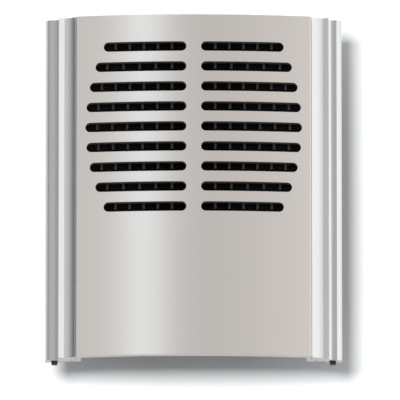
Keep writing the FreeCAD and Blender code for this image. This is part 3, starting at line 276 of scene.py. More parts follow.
def new_material(name: str) -> tuple[bpy.types.Material, Tree]:
    """A new material and its emptied tree.

    Args:
        name: the material's name.

    Returns:
        The material and its tree.
    """
    material = bpy.data.materials.new(name)
    material.use_nodes = True
    return material, Tree(material.node_tree)


def shade(colour: tuple[float, float, float], gain: float) -> tuple[float, float, float]:
    """A colour made lighter or darker by a factor."""
    return tuple(min(1.0, channel * gain) for channel in colour)


# Finishes

@dataclass(frozen=True)
class Finish:
    """A finish in one colour, with mottling, grain in the roughness and a fine bump."""

    name: str
    colour: tuple[float, float, float]
    roughness: float = 0.5
    metallic: float = 0.0
    mottle: float = 0.06
    mottle_per_metre: float = 60.0
    grain: float = 0.08
    grain_per_metre: float = 2500.0
    depth: float = 0.02 * MM
    coat: float = 0.0
    specular: float = 0.5
    gloss_scale: float = 0.3

    def height(self, tree: Tree) -> Value:
        """Height of the surface's texture, about one unit high."""
        return tree.noise(self.grain_per_metre, detail=2.0)

    def paint(self, tree: Tree) -> bpy.types.NodeSocket:
        """Base colour over the surface."""
        patches = tree.noise(self.mottle_per_metre, detail=4.0) + 0.5
        return tree.tint(patches, shade(self.colour, 1 - self.mottle), shade(self.colour, 1 + self.mottle))

    def gloss(self, tree: Tree) -> Value:
        """Roughness over the surface."""
        return tree.noise(self.grain_per_metre * self.gloss_scale) * self.grain + self.roughness

    def metal(self, tree: Tree) -> Any:
        """How metallic the surface is."""
        return self.metallic

    def material(self) -> bpy.types.Material:
        """Make the material.

        Returns:
            The material, ready to assign.
        """
        material, tree = new_material(self.name)
        sockets = {
            "Base Color": self.paint(tree),
            "Roughness": self.gloss(tree),
            "Metallic": self.metal(tree),
            "Normal": tree.bump(self.height(tree), self.depth),
            "Coat Weight": self.coat,
            "Specular IOR Level": self.specular,
        }
        tree.surface(tree.add("ShaderNodeBsdfPrincipled", None, sockets))
        return material


@dataclass(frozen=True)
class SatinAluminium(Finish):
    """Satin anodised extrusion with a fine grain, faint die lines along its length, and duller faces that
    also carry painted shade.
    """

    die_lines_per_metre: float = 1400.0
    die_line_stretch: float = 0.004
    die_line_share: float = 0.4
    dull_roughness: float = 0.3
    # Tone on dull faces: partly a duller sawn finish, partly painted shade; in the recess it is painted
    # shade
    dull_and_shade_tone: float = 0.70
    painted_shade_gain: float = 2.4

    def dull(self, tree: Tree) -> Value:
        """How dull a face is, which also sets its painted shade, as `mark_dull_and_shade` has stored it."""
        return tree.number("ShaderNodeAttribute", {"attribute_name": DULL_AND_SHADE}, None, "Fac")

    def paint(self, tree: Tree) -> bpy.types.NodeSocket:
        """Colour of the anodising, with painted shade on dull faces, which is full before the roughness has
        risen in full.
        """
        # Painted shade: dull faces get a darker tone of the anodising
        painted_shade_share = self.dull(tree) * self.painted_shade_gain
        return tree.tint(painted_shade_share, super().paint(tree), shade(self.colour, self.dull_and_shade_tone))

    def die_lines(self, tree: Tree) -> Value:
        """Noise drawn out along Z into the lines that the die leaves."""
        return tree.noise(self.die_lines_per_metre, detail=2.0, stretch=(1.0, 1.0, self.die_line_stretch))

    def height(self, tree: Tree) -> Value:
        """Fine etched grain with die lines along Z."""
        lines = self.die_lines(tree) * self.die_line_share
        return tree.noise(self.grain_per_metre, detail=2.0) * (1.0 - self.die_line_share) + lines

    def gloss(self, tree: Tree) -> Value:
        """Roughness that follows the die lines, and more of it on dull faces."""
        return self.die_lines(tree) * self.grain + self.roughness + self.dull(tree) * self.dull_roughness


@dataclass(frozen=True)
class Woven(Finish):
    """Fine cloth of crossed threads."""

    threads_per_metre: float = 900.0

    def height(self, tree: Tree) -> Value:
        """Threads across and along, each a wave."""
        return tree.bands(self.threads_per_metre, Axis.X).larger(tree.bands(self.threads_per_metre, Axis.Z))


@dataclass(frozen=True)
class Layered(Finish):
    """A stack or a winding: bands along one axis."""

    bands_per_metre: float = 2000.0
    axis: Axis = Axis.Y
    band_tint: float = 0.75

    def height(self, tree: Tree) -> Value:
        """One wave for each layer."""
        return tree.bands(self.bands_per_metre, self.axis)

    def paint(self, tree: Tree) -> bpy.types.NodeSocket:
        """Darker joints between the layers."""
        return tree.tint(self.height(tree), shade(self.colour, self.band_tint), self.colour)


@dataclass(frozen=True)
class Tracked(Finish):
    """Solder mask over copper tracks that run square to each other, with rows of tinned pads."""

    track_colour: tuple[float, float, float] = (0.03, 0.20, 0.07)
    pad_colour: tuple[float, float, float] = (0.62, 0.60, 0.56)
    blocks_per_metre: float = 140.0
    track_width: float = 0.04
    track_joint: float = 0.37
    track_blur: float = 0.1
    block_width: float = 0.9
    block_height: float = 0.35
    pads_per_metre: float = 394.0
    pad_radius: float = 0.26
    pad_fields_per_metre: float = 110.0
    bare_above: float = 0.06

    def height(self, tree: Tree) -> Value:
        """Tracks are the joints of a pattern of blocks, and stand a little above the board."""
        sockets = {
            "Vector": tree.place(upright=True),
            "Scale": self.blocks_per_metre,
            "Mortar Size": self.track_width,
            "Mortar Smooth": self.track_blur,
            "Brick Width": self.block_width,
            "Row Height": self.block_height,
        }
        return tree.number("ShaderNodeTexBrick", {"offset": self.track_joint}, sockets, "Fac")

    def metal(self, tree: Tree) -> Value:
        """Pads are discs on an even pitch, kept where a coarse noise is high.

        Args:
            tree: the material's tree.

        Returns:
            One on a pad, else zero.
        """
        settings = {"voronoi_dimensions": "2D"}
        sockets = {"Vector": tree.place(upright=True), "Scale": self.pads_per_metre, "Randomness": 0.0}
        from_pitch = tree.number("ShaderNodeTexVoronoi", settings, sockets)
        bare = tree.noise(self.pad_fields_per_metre, detail=0.0).above(self.bare_above)
        return (self.pad_radius - from_pitch).above(0.0) * bare

    def paint(self, tree: Tree) -> bpy.types.NodeSocket:
        """Lighter mask where a track lies under it, and bare pads."""
        mask = tree.tint(self.height(tree), self.colour, self.track_colour)
        return tree.tint(self.metal(tree), mask, self.pad_colour)


FINISHES: dict[str, Finish] = {finish.name: finish for finish in (
    SatinAluminium(PLATE_FINISH, (0.604, 0.568, 0.538), 0.21, metallic=1.0, mottle=0.015,
                   mottle_per_metre=30.0, grain=0.05, grain_per_metre=3500.0, depth=0.004 * MM),
    SatinAluminium(RAIL_FINISH, (0.600, 0.606, 0.600), 0.23, metallic=1.0, mottle=0.02,
                   mottle_per_metre=30.0, grain=0.06, grain_per_metre=3500.0, depth=0.004 * MM),
    Finish("seal_rubber", (0.014, 0.014, 0.014), 0.7, depth=0.05 * MM),
    Finish("grille_black", (0.010, 0.010, 0.011), 0.45, depth=0.03 * MM),
    Woven("membrane_cloth", (0.007, 0.007, 0.008), 0.9, depth=0.2 * MM),
    Finish("carrier_black", (0.028, 0.028, 0.030), 0.52, depth=0.05 * MM),
    Finish("cover_grey", (0.085, 0.088, 0.092), 0.55, depth=0.06 * MM),
    Finish("zinc_steel", (0.66, 0.67, 0.69), 0.28, metallic=1.0, mottle=0.08,
           mottle_per_metre=400.0, grain=0.12),
    Finish("insert_brass", (0.72, 0.52, 0.22), 0.25, metallic=1.0),
    Finish("gasket_foam", (0.03, 0.03, 0.03), 0.95, grain_per_metre=1500.0, depth=0.2 * MM),
    Finish("cone_film", (0.50, 0.47, 0.40), 0.25, coat=0.4),
    Layered("coil_copper", (0.72, 0.34, 0.18), 0.3, metallic=0.8, bands_per_metre=5000.0),
    Finish("ferrite", (0.07, 0.07, 0.075), 0.6, mottle=0.2),
    Finish("tag_board", (0.30, 0.15, 0.06), 0.6),
    Finish("boot_rubber", (0.02, 0.02, 0.02), 0.8),
    Finish("capsule_shell", (0.72, 0.73, 0.74), 0.3, metallic=1.0),
    Tracked("board_green", (0.012, 0.10, 0.035), 0.35, coat=0.3, depth=0.03 * MM),
    Finish("terminal_green", (0.03, 0.17, 0.075), 0.42),
    Finish("tinned_metal", (0.74, 0.73, 0.70), 0.34, metallic=1.0, mottle=0.1, mottle_per_metre=300.0),
    Finish("trimmer_blue", (0.01, 0.05, 0.22), 0.35),
    Finish("rotor_white", (0.76, 0.74, 0.67), 0.45),
    Finish("chip_black", (0.02, 0.02, 0.02), 0.5),
    Finish("can_sleeve", (0.012, 0.02, 0.07), 0.28, coat=0.5),
    Finish("capacitor_red", (0.30, 0.03, 0.015), 0.35),
    Finish("resistor_tan", (0.52, 0.36, 0.18), 0.4),
    Finish("diode_glass", (0.02, 0.018, 0.018), 0.3),
    Layered("lamination", (0.36, 0.36, 0.37), 0.45, metallic=1.0, bands_per_metre=2000.0),
    Finish("bobbin_tape", (0.58, 0.36, 0.06), 0.3, coat=0.3),
    Finish("connector_white", (0.76, 0.74, 0.64), 0.4),
    Finish("wire_red", (0.34, 0.02, 0.015), 0.35),
)}


def record_slot(node: str) -> str:
    """The material slot that the record gives a CAD node."""
    return next(part["material_slot"] for part in frame["record"]["subparts"] if part["node"] == node)


class Wardrobe:
    """Materials by the record's slots, each made once."""

    def __init__(self) -> None:
        """Start with no material made."""
        self.made: dict[str, bpy.types.Material] = {}

    def material(self, slot: str) -> bpy.types.Material:
        """The material for a slot.

        Args:
            slot: name of the record's material slot.

        Returns:
            The slot's material, made the first time it is asked for.
        """
        if slot not in self.made:
            self.made[slot] = FINISHES[slot].material()
        return self.made[slot]

    def dress_nodes(self) -> None:
        """Give every CAD node the finish of its slot."""
        for part in frame["record"]["subparts"]:
            node = frame["nodes"][part["node"]]
            node.data.materials.clear()
            node.data.materials.append(self.material(part["material_slot"]))
            log.info("%s wears %s", part["node"], part["material_slot"])


# Surfaces

def arc(centre: tuple[float, float], radius: float, start: float, end: float, steps: int) -> np.ndarray:
    """Points on a circle: centre plus radius times cosine and sine of the angle.

    Args:
        centre: middle of the circle.
        radius: its radius.
        start: first angle in degrees.
        end: last angle in degrees.
        steps: how many parts the arc is divided into.

    Returns:
        An array of steps + 1 points.
    """
    angle = np.radians(np.linspace(start, end, steps + 1))
    return np.stack([centre[0] + radius * np.cos(angle), centre[1] + radius * np.sin(angle)], axis=1)


def linked(name: str, data: Any) -> bpy.types.Object:
    """A new object that holds some data, linked into the scene.

    Args:
        name: the object's name.
        data: its mesh, lamp or camera.

    Returns:
        The object.
    """
    made = bpy.data.objects.new(name, data)
    bpy.context.scene.collection.objects.link(made)
    return made


def merged(mesh: bpy.types.Mesh) -> bmesh.types.BMesh:
    """A working copy of a mesh with its doubles merged.

    Args:
        mesh: the mesh, which stays as it is.

    Returns:
        The copy, to be freed.
    """
    work = bmesh.new()
    work.from_mesh(mesh)
    bmesh.ops.remove_doubles(work, verts=work.verts, dist=MERGE)
    return work


def finished(work: bmesh.types.BMesh, mesh: bpy.types.Mesh, material: bpy.types.Material,
             crease: float) -> bpy.types.Object:
    """Put a worked mesh into a smooth object at the origin, named after its mesh.

    Args:
        work: the worked mesh, which is freed.
        mesh: the mesh that takes it.
        material: what the piece is made of.
        crease: angle in degrees above which an edge stays sharp.

    Returns:
        The object.
    """
    work.to_mesh(mesh)
    work.free()
    mesh.materials.clear()
    mesh.materials.append(material)
    mesh.shade_smooth()
    mesh.set_sharp_from_angle(angle=math.radians(crease))
    return linked(mesh.name, mesh)


class Shell:
    """Vertices and faces of one piece, gathered from grids and carried sections."""

    def __init__(self) -> None:
        """Start empty."""
        self.points: list[np.ndarray] = []
        self.faces: list[list[int]] = []
        self.count = 0

    def _keep(self, points: np.ndarray) -> int:
        """Store points and give the number of the first.

        Args:
            points: array whose last axis holds the three coordinates.

        Returns:
            The number of the first point.
        """
        first = self.count
        self.points.append(points.reshape(-1, 3))
        self.count += len(self.points[-1])
        return first

    def grid(self, points: np.ndarray, closed: bool = False) -> None:
        """Join an array of rows and columns of points with four-sided faces.

        Args:
            points: array of rows, columns and three coordinates.
            closed: whether the last column joins the first.
        """
        rows, columns = points.shape[:2]
        number = self._keep(points) + np.arange(rows * columns).reshape(rows, columns)
        after = np.roll(number, -1, axis=1)
        if not closed:
            number, after = number[:, :-1], after[:, :-1]
        quads = np.stack([number[:-1], after[:-1], after[1:], number[1:]], axis=-1)
        self.faces += quads.reshape(-1, 4).tolist()

    def carry(self, section: np.ndarray, stations: np.ndarray, closed: bool = False) -> None:
        """Carry a section straight up along Z.

        Args:
            section: its points, as x and depth.
            stations: the heights that it stands at.
            closed: whether its last point joins its first.
        """
        points = np.broadcast_to(section[None], (len(stations), *section.shape))
        heights = np.broadcast_to(stations[:, None, None], (*points.shape[:2], 1))
        self.grid(np.concatenate([points, heights], axis=-1), closed)

    def close(self, section: np.ndarray, heights: Iterable[float]) -> None:
        """Close a section with one face at each height.

        Args:
            section: its points, as x and depth.
            heights: where the faces lie.
        """
        for height in heights:
            first = self._keep(np.column_stack([section, np.full(len(section), height)]))
            self.faces.append(list(range(first, self.count)))

    def mirror(self) -> None:
        """Add the mirror image about the plane x = 0, turned to face outwards."""
        points = np.concatenate(self.points)
        faces = [[number + self.count for number in reversed(face)] for face in self.faces]
        self._keep(points * np.array([-1.0, 1.0, 1.0]))
        self.faces += faces

    def piece(self, name: str, material: bpy.types.Material, crease: float = 30.0) -> bpy.types.Object:
        """Make the mesh object, with its doubles merged and its faces pointing outwards.

        Args:
            name: the piece's name.
            material: what it is made of.
            crease: angle in degrees above which an edge stays sharp.

        Returns:
            The object, linked and at the origin.
        """
        mesh = bpy.data.meshes.new(name)
        mesh.from_pydata(np.concatenate(self.points).tolist(), [], self.faces)
        work = merged(mesh)
        bmesh.ops.recalc_face_normals(work, faces=work.faces)
        return finished(work, mesh, material, crease)


def round_edges(piece: bpy.types.Object, width: float, angle: float = 40.0) -> None:
    """Round the sharp edges of a piece, with two faces across the round.

    Args:
        piece: the piece.
        width: width of the round in metres.
        angle: least angle in degrees between faces at an edge that is rounded.
    """
    bevel = piece.modifiers.new("edges", "BEVEL")
    bevel.width = width
    bevel.segments = 2
    bevel.limit_method = "ANGLE"
    bevel.angle_limit = math.radians(angle)
    bevel.use_clamp_overlap = True
    bevel.harden_normals = True


def mark_dull_and_shade(piece: bpy.types.Object, reach: float = 0.0, recess: tuple[float, float] = (0.0, 0.0),
              share: float = 0.42) -> None:
    """Store on each face how dull it is, which also sets the painted shade that the finish gives it.

    Faces that a saw or a punch has left are fully dull: those that face up or down, and the slots'
    ends. Their darker tone is partly a duller finish and partly painted shade. Faces in the shelf's
    recess behind the ridge are dull by a share: painted shade there, and a little more roughness.

    Args:
        piece: the piece.
        reach: how far from the middle a face that stands upright is a slot's end.
        recess: nearest and furthest distance of the recess from the middle.
        share: dullness and painted shade in the recess.
    """
    level, upright = 0.9, 0.3
    faces = piece.data.polygons
    normals, centres = np.empty(3 * len(faces)), np.empty(3 * len(faces))
    faces.foreach_get("normal", normals)
    faces.foreach_get("center", centres)
    normals, centres = np.abs(normals.reshape(-1, 3)), np.abs(centres.reshape(-1, 3))
    cut = (normals[:, 2] > level) | ((normals[:, 1] < upright) & (centres[:, 0] < reach))
    inside = (centres[:, 0] > recess[0]) & (centres[:, 0] < recess[1])
    # Painted shade: cut faces in full, and the recess by a share, are darkened in the finish
    dull = np.where(cut, 1.0, np.where(inside, share, 0.0))
    piece.data.attributes.new(DULL_AND_SHADE, "FLOAT", "FACE").data.foreach_set("value", dull.astype(np.float32))


def settle(piece: bpy.types.Object, node: str) -> None:
    """Let a piece stand for a CAD node: it rides on the node's body, the node's slot is looked up, and the
    node is hidden.

    Args:
        piece: the piece.
        node: the CAD node.
    """
    bodies = frame["record"]["behaviour"]["bodies"]
    body = next(name for name, nodes in bodies.items() if node in nodes)
    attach(piece, body)
    record_slot(node)
    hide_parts(node)
    log.info("%s stands for %s on %s, %d faces", piece.name, node, body, len(piece.data.polygons))


@dataclass
class FrontPlate:
    """Convex aluminium front with its slot field, legs and side tongues."""

    wardrobe: Wardrobe
    half_width: float = 39.7 * MM
    radius: float = 250.0 * MM
    crest: float = 12.8 * MM
    thickness: float = 2.6 * MM
    edge_round: float = 0.4 * MM
    leg: float = 1.8 * MM
    foot: float = -1.8 * MM
    tongue_reach: float = 1.3 * MM
    tongue_back: float = -3.0 * MM
    tongue_front: float = -4.4 * MM
    rows: int = 9
    pitch: float = 6.94 * MM
    slot_height: float = 3.2 * MM
    web: float = 5.0 * MM
    reach: float = 36.5 * MM
    field_radius: float = 65.6 * MM
    level: float = 20.1 * MM
    slot_margin: float = 0.45 * MM
    soft_edge: float = 0.12 * MM
    stations_across: int = 39
    stations_below: int = 25
    stations_above: int = 5
    cell_steps: int = 6
    brow_stations: int = 3
    brow_steps: int = 5

    def __post_init__(self) -> None:
        """Work out the half height and the stations across the half plate, about one each millimetre."""
        self.inner_edge = self.half_width - self.leg
        self.across = np.linspace(0.0, self.inner_edge, self.stations_across)
        self.half_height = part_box("front_plate")[1].z

    def front(self, x: np.ndarray) -> np.ndarray:
        """Depth of the front face: a circle of the plate's radius through the crest."""
        return self.radius - self.crest - np.sqrt(self.radius ** 2 - x ** 2)

    def back(self, x: np.ndarray) -> np.ndarray:
        """Depth of the inner face: a circle about the same middle, one thickness less."""
        inner = self.radius - self.thickness
        return self.radius - self.crest - np.sqrt(inner ** 2 - x ** 2)

    @staticmethod
    def lifted(flat: np.ndarray, depth: Callable[[np.ndarray], np.ndarray]) -> np.ndarray:
        """Put flat points of x and z on a face of the plate, given by its depth over x."""
        return np.stack([flat[..., 0], depth(flat[..., 0]), flat[..., 1]], axis=-1)

    def frame_loop(self, level: float) -> np.ndarray:
        """Points round a row's cell, counter-clockwise, from the middle out along its lower edge first.

        Args:
            level: height of the row.

        Returns:
            The points, as x and z.
        """
        rise = np.linspace(-self.pitch / 2, self.pitch / 2, self.cell_steps + 1) + level
        lower = np.stack([self.across, np.full_like(self.across, rise[0])], axis=1)
        outer = np.stack([np.full_like(rise, self.across[-1]), rise], axis=1)
        upper = np.stack([self.across[::-1], np.full_like(self.across, rise[-1])], axis=1)
        inner = np.stack([np.zeros_like(rise), rise[::-1]], axis=1)
        return np.concatenate([lower[:-1], outer[:-1], upper[:-1], inner[:-1]])

    def slot_loop(self, frame_points: np.ndarray, level: float, reach: float, margin: float) -> np.ndarray:
        """Points round a slot, one for each point of its cell.

        A point above or below the straight part keeps its x. The others are shared out evenly
        over the two half circles at the slot's ends.

        Args:
            frame_points: points round the cell.
            level: height of the row.
            reach: how far the slot's outer tip is from the middle.
            margin: distance of the loop outside the slot's edge.

        Returns:
            The points round the slot.
        """
        radius = self.slot_height / 2
        inner = self.web / 2 + radius
        outer = reach - radius
        x, z = frame_points[:, 0], frame_points[:, 1]
        side = np.where(z > level, 1.0, -1.0)
        loop = np.stack([x, level + side * (radius + margin)], axis=1)
        count = len(x)
        order = np.arange(count)
        for centre, beyond, start in ((outer, x > outer, -90.0), (inner, x < inner, 90.0)):
            chosen = order[beyond]
            breaks = np.flatnonzero(np.diff(chosen) > 1)
            if len(breaks):
                chosen = np.roll(chosen, -(breaks[0] + 1))
            angle = np.radians(np.linspace(start, start + 180.0, len(chosen) + 2)[1:-1])
            loop[chosen, 0] = centre + (radius + margin) * np.cos(angle)
            loop[chosen, 1] = level + (radius + margin) * np.sin(angle)
        return loop

    def add_row(self, shell: Shell, row: int) -> None:
        """One row's cell: front face, slot wall and inner face as a single band.

        Args:
            shell: the shell that takes it.
            row: the row's number, from the top.
        """
        offset = ((self.rows - 1) / 2 - row) * self.pitch
        level = self.level + offset
        reach = self.reach - self.field_radius + math.sqrt(self.field_radius ** 2 - offset ** 2)
        cell = self.frame_loop(level)
        near = self.slot_loop(cell, level, reach, self.slot_margin)
        edge = self.slot_loop(cell, level, reach, 0.0)
        middle = (cell + near) / 2
        loops = [self.lifted(flat, self.front) for flat in (cell, middle, near, edge)]
        loops += [self.lifted(flat, self.back) for flat in (edge, near, cell)]
        shell.grid(np.stack(loops), closed=True)

    def side_profile(self) -> np.ndarray:
        """Section of the plate's side, from the front face round the leg to the inner face.

        Returns:
            The points, as x and depth.
        """
        shoulder = self.half_width - self.edge_round
        brow = float(self.front(np.array(shoulder)))
        over = np.linspace(self.inner_edge, shoulder, self.brow_stations)
        tongue = self.half_width + self.tongue_reach
        corner = arc((shoulder, brow + self.edge_round), self.edge_round, -90.0, 0.0, self.brow_steps)
        tail = np.array([
            (self.half_width, self.tongue_front), (tongue, self.tongue_front), (tongue, self.tongue_back),
            (self.half_width, self.tongue_back), (self.half_width, self.foot), (self.inner_edge, self.foot),
            (self.inner_edge, float(self.back(np.array(self.inner_edge)))),
        ])
        return np.concatenate([np.stack([over, self.front(over)], axis=1)[:-1], corner, tail])

    def build(self) -> bpy.types.Object:
        """Build the whole plate.

        Returns:
            The plate.
        """
        shell = Shell()
        field_top = self.level + self.rows * self.pitch / 2
        field_bottom = field_top - self.rows * self.pitch
        in_field = np.linspace(field_bottom, field_top, self.rows * self.cell_steps + 1)
        below = np.linspace(-self.half_height, field_bottom, self.stations_below)
        above = np.linspace(field_top, self.half_height, self.stations_above)
        for row in range(self.rows):
            self.add_row(shell, row)
        for stations in (below, above):
            x, z = np.meshgrid(self.across, stations)
            flat = np.stack([x, z], axis=-1)
            shell.grid(self.lifted(flat, self.front))
            shell.grid(self.lifted(flat, self.back))
        stations = np.concatenate([below[:-1], in_field, above[1:]])
        profile = self.side_profile()
        shell.carry(profile, stations)
        section = np.concatenate([
            np.stack([self.across, self.front(self.across)], axis=1)[:-1], profile,
            np.stack([self.across, self.back(self.across)], axis=1)[-2::-1],
        ])
        shell.close(section, (-self.half_height, self.half_height))
        shell.mirror()
        piece = shell.piece("slotted_front", self.wardrobe.material(PLATE_FINISH))
        # Cut ends and slot walls get a darker tone: partly a duller sawn finish, partly painted shade
        mark_dull_and_shade(piece, self.inner_edge - self.leg / 2)
        round_edges(piece, self.soft_edge)
        settle(piece, "front_plate")
        return piece


@dataclass
class SideRail:
    """Moulded rail: lip, cove, ridge, shelf and rounded outer edge."""

    wardrobe: Wardrobe
    side: int
    inner: float = 39.75 * MM
    outer: float = 50.0 * MM
    lip_height: float = 8.9 * MM
    lip_width: float = 0.15 * MM
    lip_slope: float = 45.0
    cove_radius: float = 6.9 * MM
    crease_inset: float = 3.85 * MM
    ridge_inset: float = 5.7 * MM
    ridge_slope: float = 22.0
    ridge_flat: float = 0.1 * MM
    wall_lean: float = 0.05 * MM
    foot_radius: float = 2.3 * MM
    foot_run: float = 1.7 * MM
    shelf_height: float = 4.4 * MM
    outer_slope: float = 27.0
    outer_round: float = 2.0 * MM
    outer_level: float = 2.3 * MM
    flange: float = 1.8 * MM
    ear: float = 44.8 * MM
    seal: tuple[float, float] = (45.75 * MM, 47.95 * MM)
    seal_depth: float = 2.5 * MM
    groove: tuple[float, float] = (2.9 * MM, 4.5 * MM)
    groove_end: float = 41.2 * MM
    soft_edge: float = 0.08 * MM
    soft_angle: float = 24.0
    crease: float = 20.0
    stations: int = 13
    cove_steps: int = 14
    round_steps: int = 8

    def profile(self) -> np.ndarray:
        """Section of the right rail in X and depth.

        The cove is an arc that leaves the lip at the lip's slope and ends at a crease, from which a
        straight slope rises to the ridge. The wall behind the ridge ends in the shelf's hollow foot.

        Returns:
            The points, in order round the section.
        """
        cove_start = self.inner + self.lip_width
        lean = math.radians(self.lip_slope)
        cove_middle = cove_start + self.cove_radius * math.sin(lean)
        cove_level = self.lip_height + self.cove_radius * math.cos(lean)
        hollow = self.inner + self.crease_inset
        run_out = math.asin((cove_middle - hollow) / self.cove_radius)
        hollow_level = cove_level - self.cove_radius * math.cos(run_out)
        ridge = self.inner + self.ridge_inset
        ridge_level = hollow_level + (ridge - hollow) * math.tan(math.radians(self.ridge_slope))
        cove_end = math.degrees(run_out)
        foot_end = ridge + self.ridge_flat + self.wall_lean + self.foot_run
        foot_level = self.shelf_height + self.foot_radius
        foot_angle = math.degrees(math.asin(self.foot_run / self.foot_radius))
        slope = math.radians(self.outer_slope)
        middle = self.outer - self.outer_round
        slope_end = middle + self.outer_round * math.sin(slope)
        slope_level = self.outer_level + self.outer_round * math.cos(slope)
        arris = slope_end - (self.shelf_height - slope_level) / math.tan(slope)
        low, high = self.seal
        near, far = self.groove
        rim, steps = self.outer_round, self.round_steps
        return np.concatenate([
            [(self.inner, -self.flange), (self.inner, -near), (self.groove_end, -near)],
            [(self.groove_end, -far), (self.inner, -far), (self.inner, -self.lip_height)],
            arc((cove_middle, -cove_level), self.cove_radius, 90.0 + self.lip_slope, 90.0 + cove_end,
                self.cove_steps),
            [(ridge, -ridge_level), (ridge + self.ridge_flat, -ridge_level)],
            arc((foot_end, -foot_level), self.foot_radius, 90.0 + foot_angle, 90.0, steps),
            [(arris, -self.shelf_height)],
            arc((middle, -self.outer_level), rim, self.outer_slope - 90.0, 0.0, steps),
            [(self.outer, 0.0), (high, 0.0), (high, -self.seal_depth), (low, -self.seal_depth)],
            [(low, 0.0), (self.ear, 0.0), (self.ear, -self.flange)],
        ])

    def build(self) -> bpy.types.Object:
        """Carry the section along the rail's length.

        Returns:
            The rail.
        """
        word = "right" if self.side > 0 else "left"
        node = f"side_rail_{word}"
        low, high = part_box(node)
        section = self.profile() * np.array([self.side, 1.0])
        shell = Shell()
        shell.carry(section, np.linspace(low.z, high.z, self.stations), closed=True)
        shell.close(section, (low.z, high.z))
        piece = shell.piece(f"moulded_rail_{word}", self.wardrobe.material(RAIL_FINISH), self.crease)
        # Painted shade on the shelf behind the ridge, as if the ridge's wall shaded it; the ends are cut
        # faces
        bare_foot = self.inner + self.ridge_inset + self.foot_run / 2
        mark_dull_and_shade(piece, recess=(bare_foot, self.outer - self.outer_round))
        round_edges(piece, self.soft_edge, self.soft_angle)
        settle(piece, node)
        return piece


@dataclass
class Softened:
    """A CAD node's own shape, with the rounded edges that a mould, a die or a press leaves."""

    wardrobe: Wardrobe
    node: str
    width: float
    angle: float = 40.0
    flat: float = 0.4

    def build(self) -> bpy.types.Object:
        """Merge a copy of the node's mesh, join its flat faces, and round its edges.

        Returns:
            The piece.
        """
        work = merged(frame["nodes"][self.node].data)
        flat = math.radians(self.flat)
        bmesh.ops.dissolve_limit(work, angle_limit=flat, verts=work.verts, edges=work.edges)
        mesh = bpy.data.meshes.new(f"soft_{self.node}")
        piece = finished(work, mesh, self.wardrobe.material(record_slot(self.node)), self.angle)
        round_edges(piece, self.width, self.angle)
        settle(piece, self.node)
        return piece


SOFT_EDGES: dict[float, tuple[str, ...]] = {
    0.5 * MM: ("rear_cover",),
    0.3 * MM: ("rail_seal_left", "rail_seal_right"),
    0.2 * MM: ("carrier",),
    0.15 * MM: ("terminal_block",),
    0.1 * MM: (
        "volume_trimmer", "microphone_trimmer", "volume_rotor", "microphone_rotor", "cover_screws",
        "rail_screws", *(f"terminal_screw_{pole}" for pole in range(1, 6)),
    ),
}


# Light, backdrop and camera

@dataclass(frozen=True)
class Lamp:
    """A soft rectangular lamp that points at the module: angles in degrees, from the front and up."""

    name: str
    azimuth: float
    height: float
    distance: float
    size: tuple[float, float]
    radiance: float
    colour: tuple[float, float, float] = (1.0, 1.0, 1.0)

    def build(self) -> bpy.types.Object:
        """Make the lamp, whose face has the stated radiance, where 1 is white.

        Returns:
            The lamp.
        """
        data = bpy.data.lights.new(self.name, "AREA")
        data.shape = "RECTANGLE"
        data.size, data.size_y = self.size
        data.energy = self.radiance * math.pi * self.size[0] * self.size[1]
        data.color = self.colour
        lamp = linked(self.name, data)
        turn, rise = math.radians(self.azimuth), math.radians(self.height)
        outward = Vector((math.sin(turn) * math.cos(rise), -math.cos(turn) * math.cos(rise), math.sin(rise)))
        lamp.location = outward * self.distance
        lamp.rotation_euler = (math.radians(90.0) - rise, 0.0, turn)
        return lamp


